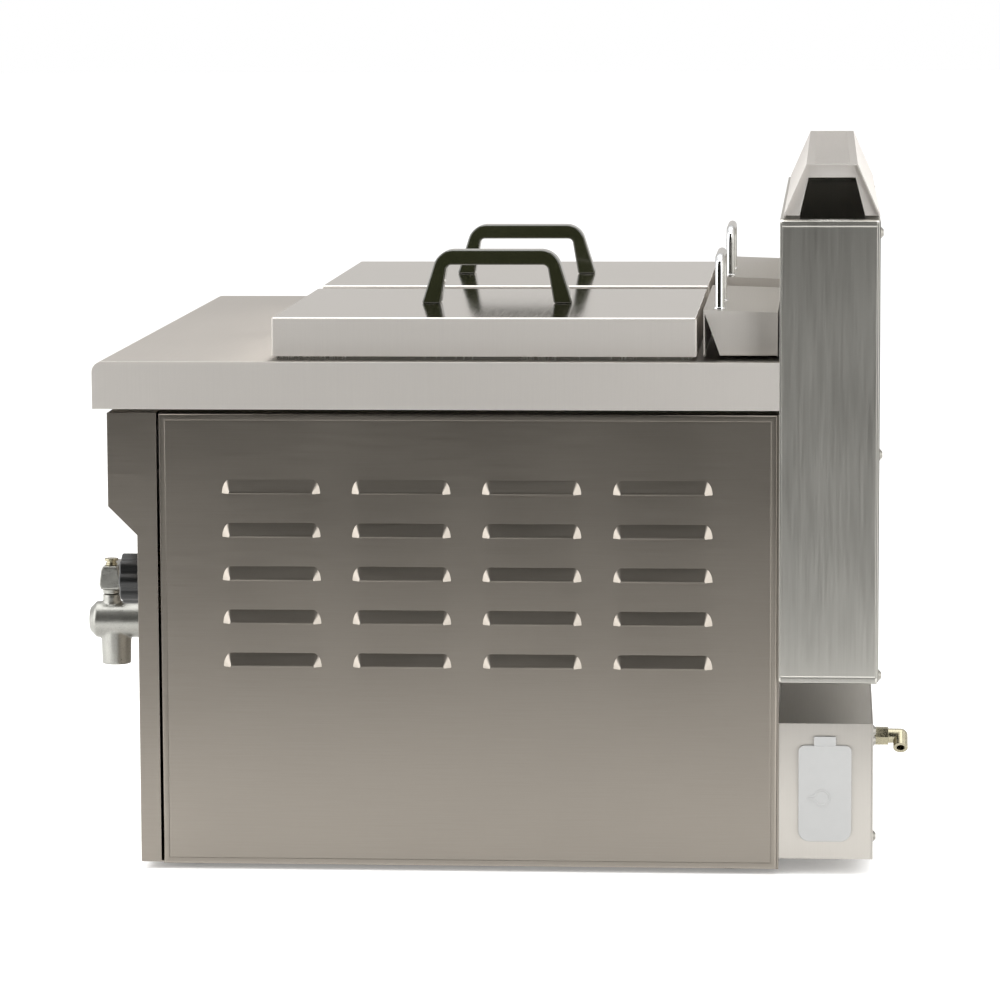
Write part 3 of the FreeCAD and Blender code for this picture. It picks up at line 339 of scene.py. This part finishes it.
# %% Plated metal finishes
chrome = worked_surface("chrome on drawn rod", (6 * MM, 6 * MM, 2 * MM), 0.002 * MM,
                        ("D2D3D4", "DFE0E0"), (0.04, 0.09), 0.05, METAL)
cast_nickel = worked_surface("nickel on sand casting", (1.4 * MM, 1.4 * MM, 1.4 * MM),
                             0.09 * MM, ("82827E", "AEADA7"), (0.26, 0.4), 0.01, METAL)
pale_brass = worked_surface("plated cast brass", (1.5 * MM, 1.5 * MM, 1.5 * MM), 0.04 * MM,
                            ("8C866F", "B8B29C"), (0.2, 0.34), 0.01, METAL)
bright_screw = worked_surface("zinc on steel screw", (2 * MM, 2 * MM, 2 * MM), 0.01 * MM,
                              ("77756F", "9C9992"), (0.2, 0.3), 0.01, METAL)
raw_iron = worked_surface("cast iron", (1.8 * MM, 1.8 * MM, 1.8 * MM), 0.1 * MM,
                          ("2A2825", "3B3835"), (0.55, 0.75), 0.03, METAL)

# %% [markdown]
# ## Moulded plastics and rubber
# The grips are phenolic resin pressed in a polished mould: nearly black with an olive
# cast, and a wet gloss that waves a little over a centimetre. The knobs are moulded
# nylon with a fine grit and less shine. The battery holder and its cover are white ABS.
# Its colour is set to a mid grey, because the stage's lights are strong enough to wash a
# true white out.

# %% Plastic finishes
phenolic = worked_surface("pressed phenolic resin", (14 * MM, 14 * MM, 14 * MM), 0.03 * MM,
                          ("1C1E10", "282A1A"), (0.1, 0.17), 0.05,
                          {"IOR": 1.6, "Coat Weight": 0.6, "Coat Roughness": 0.05})
nylon = worked_surface("moulded nylon", (1.2 * MM, 1.2 * MM, 1.2 * MM), 0.02 * MM,
                       ("060707", "0D0F0F"), (0.3, 0.4), 0.02, {"IOR": 1.53})
white_abs = worked_surface("white ABS", (9 * MM, 9 * MM, 9 * MM), 0.01 * MM,
                           ("9D9D9C", "A5A5A4"), (0.28, 0.38), 0.05, {"IOR": 1.53})
black_rubber = worked_surface("moulded rubber", (1.5 * MM, 1.5 * MM, 1.5 * MM), 0.03 * MM,
                              ("161616", "232323"), (0.65, 0.8), 0.02, {"IOR": 1.52})
case_black = worked_surface("potted resin case", (2 * MM, 2 * MM, 2 * MM), 0.02 * MM,
                            ("101112", "1B1C1E"), (0.4, 0.55), 0.02, {"IOR": 1.5})
cell_paint = worked_surface("lacquered cell jacket", (8 * MM, 8 * MM, 8 * MM), 0.01 * MM,
                            ("20262B", "2D343A"), (0.2, 0.3), 0.02, {"IOR": 1.5})
white_ink = worked_surface("pad printed ink", (0.8 * MM, 0.8 * MM, 0.8 * MM), 0.01 * MM,
                           ("E4E4E0", "F4F4F0"), (0.45, 0.55), 0.02, {"IOR": 1.5})

# %% Put the finishes on the loaded parts
FINISHES = {
    "side_panel": shaded_panel_steel, "front_housing": shaded_panel_steel, "back_panel": shaded_panel_steel,
    "bottom_tray": shaded_panel_steel, "deck": lit_deck_steel, "lid": lid_steel,
    "rear_shelf": lit_deck_steel, "flue": flue_steel, "ignition_box": box_steel,
    "tank": tank_steel, "heat_shield": tank_steel, "lifting_loop": chrome,
    "rear_screws": bright_screw, "lid_grip": phenolic, "knob": nylon,
    "drain_tap": cast_nickel, "tap_lever": cast_nickel, "gas_inlet": pale_brass,
    "gas_valve": pale_brass, "lever_screw": pale_brass, "gas_manifold": zinc_tube,
    "supply_pipe": zinc_tube, "burner_feed": zinc_tube, "drain_pipe": zinc_tube,
    "valve_stem": zinc_tube, "pilot": zinc_tube, "thermostat_bulb": chrome,
    "burner": raw_iron, "feet": black_rubber, "battery_holder": white_abs,
    "battery_cover": white_abs, "igniter_module": case_black, "battery_cell": cell_paint,
}
for node_name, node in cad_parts.items():
    stems = [stem for stem in FINISHES if node_name.startswith(stem)]
    node.data.materials.clear()
    node.data.materials.append(FINISHES[max(stems, key=len)])
print("finishes set on", len(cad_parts), "nodes")

# %% [markdown]
# ## Folded sheet with softened edges
# The deck, lids, shelves, flue and boxes are folded from sheet on a press brake, so no
# edge is quite sharp, and each fold shows as a bright line. The loaded shapes are right,
# so each is copied, merged, and given a small bevel along its sharp edges. The loaded
# parts stay for their weight and their contacts, but aren't shown.


# %% Soften the sheet parts
def soft_sheet(node_name, body, finish, width=0.45):
    piece = merged_copy(node_name)
    soften(piece, width * MM)
    return finish_piece(piece, f"soft_{node_name}", body, finish, [node_name])


def polish_top(piece):
    """Give the faces that look up the lid's polished finish."""
    piece.data.materials.append(lid_steel)
    piece.active_material_index = 1
    count = pick(piece, "FACE", lambda spot, way: way.z > 0.8)
    bpy.ops.object.material_slot_assign()
    back_to_object()
    print(f"{piece.name}: {count} polished faces")


soft_sheet("deck", "cabinet", lit_deck_steel)
soft_sheet("front_housing", "cabinet", shaded_panel_steel, 1.0)
soft_sheet("ignition_box", "cabinet", box_steel, 1.1)
soft_sheet("flue_duct", "cabinet", flue_steel, 0.9)
soft_sheet("flue_cap", "cabinet", lit_deck_steel, 0.3)
for side in SIDES:
    polish_top(soft_sheet(f"lid_{side}", f"lid_{side}", lit_deck_steel, 0.25))
    soft_sheet(f"rear_shelf_{side}", f"shelf_{side}", lit_deck_steel)

# %% [markdown]
# ## Lid grips
# A grip is one pressed arch: a straight bar on two legs that lean outwards, with rounded
# shoulders and all its long edges broken. It starts as the bar. Two cuts mark where the
# legs join, the faces below are drawn down to the lid, and then the edges are rounded.


# %% Model one grip for each lid
GRIP_THICK, GRIP_HALF, LEG_IN, LEG_MID = 13.9 * MM, 58.7 * MM, 46.5 * MM, 61.2 * MM
LEG_LEAN, LEG_FLARE, TOP_TAPER = 8.6 * MM, 1.44, 0.92
SHOULDER, ARMPIT, GRIP_ROUND = 13 * MM, 4 * MM, 3.4 * MM


def grip(side):
    low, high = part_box(f"lid_grip_{side}")
    middle = (low + high) / 2
    bar_low = high.z - GRIP_THICK
    piece = block((low.x, middle.y - GRIP_HALF, bar_low),
                  (high.x, middle.y + GRIP_HALF, high.z))
    pick(piece, "FACE", lambda spot, way: way.z > 0.9)
    bpy.ops.transform.resize(value=(1, TOP_TAPER, 1), center_override=middle)
    back_to_object()
    bevel_edges(piece, SHOULDER, 8, lambda spot, way: abs(way.x) > 0.9
                and abs(spot.z - high.z) < NEAR)
    for offset in (-LEG_IN, LEG_IN):
        pick(piece, "FACE", lambda spot, way: True)
        bpy.ops.mesh.bisect(plane_co=(0, middle.y + offset, 0), plane_no=(0, 1, 0))
        back_to_object()
    for way_out in (-1, 1):
        pick(piece, "FACE", lambda spot, way: way.z < -0.9
             and (spot.y - middle.y) * way_out > LEG_IN)
        bpy.ops.mesh.extrude_region_move(TRANSFORM_OT_translate={
            "value": (0, way_out * LEG_LEAN, low.z - bar_low)})
        bpy.ops.transform.resize(value=(1, LEG_FLARE, 1), center_override=(
            middle.x, middle.y + way_out * LEG_MID, low.z))
        back_to_object()
    bevel_edges(piece, ARMPIT, 4, lambda spot, way: abs(way.x) > 0.9
                and abs(spot.z - bar_low) < NEAR
                and abs(abs(spot.y - middle.y) - LEG_IN) < 1 * MM)
    soften(piece, GRIP_ROUND, 4)
    return finish_piece(piece, f"grip_{side}", f"lid_{side}", phenolic,
                        [f"lid_grip_{side}"])


for side in SIDES:
    grip(side)

# %% [markdown]
# ## Louvred side panels
# A panel is a shallow tray: its four edges are folded back, and a fine pressed line runs
# round just inside them. Each louvre is made by a punch that slits the sheet along one
# edge and raises a sloping hood over it, open below, with rounded ends. A hood starts as
# a flat cone. It is cut in half and squeezed to a narrow oval, its two ends are drawn
# apart so that the faces between them become the long slope, and it gets the sheet's
# thickness, a broken lower edge that catches the light, and a copy over each slot.

# %% A louvre hood
LOUVRE_LONG, LOUVRE_TALL, LOUVRE_OUT = 88 * MM, 12.5 * MM, 4.8 * MM
LIP_RADIUS, END_SQUEEZE, HOOD_SHEET = 1.6 * MM, 0.6, 0.9 * MM
LIP_ROUND, LIP_CHAMFER = 0.6 * MM, 0.8 * MM


def hood():
    """Sloping hood along Y with half-cone ends, open below, its back at X = 0."""
    deselect_all()
    bpy.ops.mesh.primitive_cone_add(
        vertices=46, radius1=LOUVRE_TALL, radius2=LIP_RADIUS, depth=LOUVRE_OUT,
        location=(LOUVRE_OUT / 2, 0, 0), rotation=(0, math.pi / 2, 0))
    piece = settle(bpy.context.object)
    bevel_edges(piece, LIP_ROUND, 2, lambda spot, way: spot.x > LOUVRE_OUT - NEAR)
    pick(piece, "FACE", lambda spot, way: True)
    bpy.ops.mesh.bisect(plane_co=(0, 0, 0), plane_no=(0, 0, 1), clear_inner=True)
    back_to_object()
    pick(piece, "FACE", lambda spot, way: way.x < -0.9)
    bpy.ops.mesh.delete(type="FACE")
    back_to_object()
    pick(piece, "FACE", lambda spot, way: True)
    bpy.ops.transform.resize(value=(1, END_SQUEEZE, 1), center_override=(0, 0, 0))
    back_to_object()
    straight = LOUVRE_LONG / 2 - END_SQUEEZE * LOUVRE_TALL
    for half in (-1, 1):
        pick(piece, "VERT", lambda spot, way: spot.y * half > 0.01 * MM)
        bpy.ops.transform.translate(value=(0, half * straight, 0))
        back_to_object()
    apply_modifier(piece, "SOLIDIFY", thickness=HOOD_SHEET, offset=-1)
    bevel_edges(piece, LIP_CHAMFER, 1, lambda spot, way: abs(way.y) > 0.9
                and spot.x > LOUVRE_OUT - NEAR and abs(spot.z) < NEAR)
    return piece


# %% The tray, its slots and its hoods
TRAY_DEEP, TRAY_TALL, SHEET = 12 * MM, 407.3 * MM, 1.2 * MM
SLOT_HALF, SLOT_LOW, SLOT_HIGH, CUT_DEEP = 41 * MM, 0.2 * MM, 8 * MM, 4 * MM
LOUVRE_ROOM, TRAY_ROUND, RAIL_ROUND = 5 * MM, 2.2 * MM, 0.3 * MM
PRESSED_LINE = ((3.2, 0), (0.5, -0.35), (0.5, 0.35))
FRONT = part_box("deck")[0].y
FIRST_LOUVRE, LOUVRE_STEP = 159.5, 116.4
LOWEST_LOUVRE, LOUVRE_RISE = 185, 39
slot_places = [
    (FRONT + (FIRST_LOUVRE + LOUVRE_STEP * column) * MM,
     (LOWEST_LOUVRE + LOUVRE_RISE * row) * MM)
    for column in range(4) for row in range(5)
]
print("louvres on each side:", len(slot_places))


def louvred_panel(side, out):
    low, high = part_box(f"side_panel_{side}")
    face = (high.x if out > 0 else low.x) - out * LOUVRE_ROOM
    back = face - out * TRAY_DEEP
    top = low.z + TRAY_TALL
    tray = block((min(face, back), low.y, low.z), (max(face, back), high.y, top))
    pick(tray, "FACE", lambda spot, way: way.x * out < -0.9)
    bpy.ops.mesh.delete(type="FACE")
    back_to_object()
    bevel_edges(tray, TRAY_ROUND, 4, lambda spot, way: abs(spot.x - face) < NEAR)
    pick(tray, "FACE", lambda spot, way: way.x * out > 0.99)
    for thickness, depth in PRESSED_LINE:
        bpy.ops.mesh.inset(thickness=thickness * MM, depth=depth * MM)
    back_to_object()
    apply_modifier(tray, "SOLIDIFY", thickness=SHEET, offset=-1)
    cutters = [block((face - CUT_DEEP, along - SLOT_HALF, up + SLOT_LOW),
                     (face + CUT_DEEP, along + SLOT_HALF, up + SLOT_HIGH))
               for along, up in slot_places]
    cutter = join_all(cutters)
    apply_modifier(tray, "BOOLEAN", object=cutter, operation="DIFFERENCE", solver="EXACT")
    bpy.data.objects.remove(cutter)
    first = hood()
    if out < 0:
        first.rotation_euler = (0, 0, math.pi)
        settle(first)
    face_outwards(first)
    hoods = [copy_moved(first, (face, along, up)) for along, up in slot_places]
    bpy.data.objects.remove(first)
    rail = block((min(back, back + out * SHEET), low.y, top - SHEET),
                 (max(back, back + out * SHEET), high.y, high.z))
    soften(rail, RAIL_ROUND)
    return finish_piece(join_all([tray, rail, *hoods]), f"louvred_side_{side}", "cabinet",
                        shaded_panel_steel, [f"side_panel_{side}"])


louvred_panel("right", 1)
louvred_panel("left", -1)

# %% [markdown]
# ## Knobs
# A knob is moulded nylon with eight finger flutes. A many-sided bar has the edges along
# eight lines drawn in towards its axis, most in the middle of each flute: each step says
# how many sides from the middle it reaches and what share of the radius it leaves. The
# rims are then rounded and the face is dished. A white line on it shows where it points,
# and a ring of printed dots on the cabinet shows the settings.

# %% One knob for each tank, with its mark and its dots
KNOB_SIDES, FLUTES = 64, 8
FLUTE_STEPS = ((0.6, 0.87), (1.6, 0.9), (2.6, 0.96))
FACE_RING, FACE_RISE, DISH_DEEP, RIM_ROUND = 2.5 * MM, 1.2 * MM, 0.8 * MM, 0.7 * MM
POINTER_HALF, POINTER_FROM, POINTER_TO, POINTER_IN = 1 * MM, 3 * MM, 16 * MM, 0.4 * MM
DOT_RING, DOT_COUNT, DOT_STEP, DOT_RADIUS, DOT_TALL = 28 * MM, 11, 27, 1.1 * MM, 0.2 * MM


def flute_share(spot, centre):
    """How far round from the middle of the nearest flute, in steps of one side."""
    angle = math.degrees(math.atan2(spot.z - centre.z, spot.x - centre.x)) % (360 / FLUTES)
    return abs(angle - 180 / FLUTES) / (360 / KNOB_SIDES)


def control_knob(side):
    low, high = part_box(f"knob_{side}")
    centre = (low + high) / 2
    radius = (high.x - low.x) / 2
    piece = bar(radius, (centre.x, high.y, centre.z),
                (centre.x, low.y + FACE_RISE, centre.z), KNOB_SIDES)
    for reach, size in FLUTE_STEPS:
        pick(piece, "EDGE", lambda spot, way: abs(way.y) > 0.9
             and reach - 1 < flute_share(spot, centre) < reach)
        bpy.ops.transform.resize(value=(size, 1, size), center_override=centre)
        back_to_object()
    pick(piece, "FACE", lambda spot, way: way.y < -0.9)
    bpy.ops.mesh.inset(thickness=FACE_RING, depth=FACE_RISE)
    bpy.ops.mesh.inset(thickness=FACE_RING, depth=-DISH_DEEP)
    back_to_object()
    soften(piece, RIM_ROUND, 3)
    face_outwards(piece)
    finish_piece(piece, f"fluted_knob_{side}", f"knob_{side}", nylon,
                 [f"knob_{side}"])
    mark = block((centre.x - POINTER_HALF, low.y + POINTER_IN, centre.z + POINTER_FROM),
                 (centre.x + POINTER_HALF, low.y + FACE_RISE, centre.z + POINTER_TO))
    soften(mark, 0.3 * MM)
    finish_piece(mark, f"knob_mark_{side}", f"knob_{side}", white_ink)


def dial_dots(side):
    """Eleven dots round three quarters of a turn, printed on the cabinet's front."""
    low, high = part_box(f"knob_{side}")
    centre = (low + high) / 2
    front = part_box("drain_tap_right")[1].y
    dot = bar(DOT_RADIUS, (0, 0, 0), (0, -DOT_TALL, 0), 16)
    soften(dot, 0.08 * MM, 1)
    dots = []
    for step in range(DOT_COUNT):
        turn = math.radians(90 - DOT_STEP * step)
        dots.append(copy_moved(dot, (centre.x + DOT_RING * math.cos(turn), front,
                                     centre.z + DOT_RING * math.sin(turn))))
    bpy.data.objects.remove(dot)
    finish_piece(join_all(dots), f"dial_dots_{side}", "cabinet", white_ink)


for side in SIDES:
    control_knob(side)
    dial_dots(side)

# %% [markdown]
# ## Drain taps
# A tap is cast in sand, so every join between its barrel, spout and neck is a soft
# fillet, and no edge is crisp. The loaded shapes meet sharply. A copy is rebuilt from
# small cubes and smoothed, which melts the joins the way a casting's do. The screw on
# the lever is turned from brass, so its rims only lose their sharp edges.

# %% Cast taps, levers and turned screws
def casting(node_name, body, cube, rounds):
    piece = merged_copy(node_name)
    apply_modifier(piece, "REMESH", mode="VOXEL", voxel_size=cube * MM)
    apply_modifier(piece, "SMOOTH", factor=0.5, iterations=rounds)
    return finish_piece(piece, f"cast_{node_name}", body, cast_nickel,
                        [node_name])


def turned(node_name, body, width):
    piece = merged_copy(node_name)
    soften(piece, width * MM)
    return finish_piece(piece, f"turned_{node_name}", body, pale_brass,
                        [node_name])


for side in SIDES:
    casting(f"drain_tap_{side}", "cabinet", 1.0, 6)
    casting(f"tap_lever_{side}", f"tap_lever_{side}", 0.8, 7)
    turned(f"lever_screw_{side}", f"tap_lever_{side}", 0.5)
turned("gas_inlet", "cabinet", 0.6)

# %% [markdown]
# ## Lifting loops' collars
# Each leg of a loop ends in a small welded collar where it meets its shelf.

# %% Two collars for each loop
ROD_RADIUS, COLLAR_RADIUS, COLLAR_TALL, COLLAR_ROUND = 4.15 * MM, 5.4 * MM, 2.2 * MM, 0.8 * MM
for side in SIDES:
    low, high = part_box(f"lifting_loop_{side}")
    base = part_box(f"rear_shelf_{side}")[1].z
    collars = []
    for across in (low.x + ROD_RADIUS, high.x - ROD_RADIUS):
        collar = bar(COLLAR_RADIUS, (across, (low.y + high.y) / 2, base),
                     (across, (low.y + high.y) / 2, base + COLLAR_TALL))
        soften(collar, COLLAR_ROUND, 3)
        collars.append(collar)
    finish_piece(join_all(collars), f"loop_collars_{side}", f"shelf_{side}", chrome)

# %% [markdown]
# ## Battery cover
# The cover over the igniter's cell is moulded in white ABS, with round corners, a small
# catch at its top and a shallow drop-shaped groove that shows where to push. The plate
# and the catch are blocks with their corners rounded. The groove starts as a round boss
# with one side drawn to a point, and its face is then inset and sunk.

# %% Plate, catch and push mark
CATCH_TALL, CATCH_HALF, CATCH_BACK = 8.2 * MM, 9.8 * MM, 1.1 * MM
PLATE_BACK, CATCH_LAP, TOP_CORNER, LOW_CORNER = 0.5 * MM, 4 * MM, 5 * MM, 10 * MM
MARK_RADIUS, MARK_POINT, POINT_REACH, MARK_TALL = 7.5 * MM, 4.5 * MM, 7.3 * MM, 1.5 * MM
MARK_ACROSS, MARK_DOWN, MARK_SIDES = 0.44, 0.54, 40
MARK_RIM, GROOVE_SIDE, GROOVE_DEEP = 1.2 * MM, 1.0 * MM, 1.1 * MM
low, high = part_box("battery_cover")
plate_top = high.z - CATCH_TALL
plate = block(low, (high.x - PLATE_BACK, high.y, plate_top))
for corner_z, radius in ((plate_top, TOP_CORNER), (low.z, LOW_CORNER)):
    bevel_edges(plate, radius, 6, lambda spot, way: abs(way.x) > 0.9
                and abs(spot.z - corner_z) < NEAR)
catch_mid = (low.y + high.y) / 2
catch = block((low.x, catch_mid - CATCH_HALF, plate_top - CATCH_LAP),
              (high.x - CATCH_BACK, catch_mid + CATCH_HALF, high.z))
mark_y = low.y + MARK_ACROSS * (high.y - low.y)
mark_z = plate_top - MARK_DOWN * (plate_top - low.z)
boss = bar(MARK_RADIUS, (high.x - MARK_TALL, mark_y, mark_z), (high.x, mark_y, mark_z),
           MARK_SIDES)
pick(boss, "EDGE", lambda spot, way: abs(way.x) > 0.9 and spot.y < mark_y - POINT_REACH)
bpy.ops.transform.translate(value=(0, -MARK_POINT, 0))
back_to_object()
pick(boss, "FACE", lambda spot, way: way.x > 0.9)
bpy.ops.mesh.inset(thickness=MARK_RIM)
bpy.ops.mesh.inset(thickness=GROOVE_SIDE, depth=-GROOVE_DEEP)
back_to_object()
for part, width in ((plate, 1.4), (catch, 0.6), (boss, 0.2)):
    soften(part, width * MM, 3)
cover = join_all([plate, catch, boss])
finish_piece(cover, "moulded_battery_cover", "battery_cover", white_abs,
             ["battery_cover"])

# %% [markdown]
# ## Flue ends
# A flat plate closes each end of the flue. Its edges are folded, so a bright line shows
# all round it, and a second pressed line runs across near its top and its bottom.

# %% A plate for each end
FOLD_WIDE, PLATE_IN, PLATE_OUT, PRESS_LINE = 1.6 * MM, 0.2 * MM, 0.7 * MM, 6.5 * MM
LINE_WIDE, LINE_DEEP, PLATE_ROUND = 0.8 * MM, 0.6 * MM, 0.35 * MM
for side, out in (("right", 1), ("left", -1)):
    low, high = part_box("flue_duct")
    face = high.x if out > 0 else low.x
    inner, outer = face - out * PLATE_IN, face + out * PLATE_OUT
    end = block((min(inner, outer), low.y + FOLD_WIDE, low.z + FOLD_WIDE),
                (max(inner, outer), high.y - FOLD_WIDE, high.z - FOLD_WIDE))
    for up in (low.z + PRESS_LINE, high.z - PRESS_LINE):
        pick(end, "FACE", lambda spot, way: way.x * out > 0.9)
        bpy.ops.mesh.bisect(plane_co=(0, 0, up), plane_no=(0, 0, 1))
        back_to_object()
        bevel_edges(end, LINE_WIDE, 2, lambda spot, way: abs(way.y) > 0.9
                    and spot.x * out > abs(face) and abs(spot.z - up) < NEAR)
        pick(end, "EDGE", lambda spot, way: abs(way.y) > 0.9
             and spot.x * out > abs(face) and abs(spot.z - up) < NEAR)
        bpy.ops.transform.translate(value=(-out * LINE_DEEP, 0, 0))
        back_to_object()
    soften(end, PLATE_ROUND)
    finish_piece(end, f"flue_end_{side}", "cabinet", flue_steel)

# %% [markdown]
# ## The stage
# A pale floor, a bright surround and soft lights from above and from both sides. Steel
# shows what is around it. A tall dark card stands to the right, where reflections see it
# but the camera doesn't, so the side panel shades from dark at the top to bright near
# the floor, and parts with upright grain pick up the soft lights on either side of it.
# A grey card beyond the left side keeps the lids' polished tops a little below white.

# %% Floor, surround and cards
deselect_all()
bpy.ops.mesh.primitive_plane_add(size=60, location=(0, 0, 0))
floor = bpy.context.object
floor.name = "floor"
floor.data.materials.append(worked_surface(
    "pale paper", (0.8, 0.8, 0.8), 0.0, ("F0F0EF", "F4F4F3"), (0.85, 0.95), 0.5,
    {"Emission Color": linear("FFFFFF"), "Emission Strength": 0.2}))


def card(name, middle, size, turn, shade):
    """A flat card that only reflections see."""
    deselect_all()
    bpy.ops.mesh.primitive_plane_add(size=1, location=middle, rotation=turn)
    piece = bpy.context.object
    piece.name = name
    piece.scale = (*size, 1)
    finish, tree = new_finish(name + " shade")
    glow = add_node(tree, "ShaderNodeEmission", inputs={"Color": linear(shade)})
    add_node(tree, "ShaderNodeOutputMaterial", inputs={"Surface": glow.outputs[0]})
    piece.data.materials.append(finish)
    piece.visible_camera = False
    piece.visible_diffuse = False
    piece.visible_shadow = False
    return piece


upright = math.pi / 2
card("dark_card", (1.1, -0.12, 1.2), (2.38, 1.6), (0, upright, 0), "2E2E2A")
card("grey_card", (-3.4, 0.0, 1.3), (2.56, 5.0), (0, upright, 0), "CECBC7")

world = bpy.data.worlds.new("surround")
bpy.context.scene.world = world
world.use_nodes = True
world.node_tree.nodes["Background"].inputs["Color"].default_value = (1, 1, 1, 1)
world.node_tree.nodes["Background"].inputs["Strength"].default_value = 1.0
bpy.context.scene.view_settings.view_transform = "Standard"


# %% Soft lights
def soft_light(name, place, aim, size, power):
    light = bpy.data.lights.new(name, "AREA")
    light.shape = "SQUARE"
    light.size = size
    light.energy = power
    lamp = bpy.data.objects.new(name, light)
    lamp.location = place
    lamp.rotation_euler = (Vector(aim) - Vector(place)).to_track_quat("-Z", "Y").to_euler()
    bpy.context.scene.collection.objects.link(lamp)
    print(f"{name}: {power} W over {size} m")


soft_light("overhead", (0, 0, 3.0), (0, 0, 0), 2.6, 55)
soft_light("front_fill", (1.1, -2.3, 1.1), (0, 0, 0.3), 3.4, 72)
soft_light("back_fill", (1.1, 2.3, 1.1), (0, 0, 0.3), 3.4, 56)

# %% [markdown]
# ## Camera
# The camera stands to the right of the fryer, a little above its lids, with a long lens.

# %% Camera
lens = bpy.data.cameras.new("camera")
lens.lens = 160.9
camera = bpy.data.objects.new("camera", lens)
bpy.context.scene.collection.objects.link(camera)
bpy.context.scene.camera = camera
heading = Matrix.Rotation(math.radians(94.2456), 4, "Z")
tilt = Matrix.Rotation(math.radians(83.199), 4, "X")
roll = Matrix.Rotation(-0.0045, 4, "Z")
camera.matrix_world = Matrix.Translation((4.3263, 0.31083, 0.80593)) @ heading @ tilt @ roll
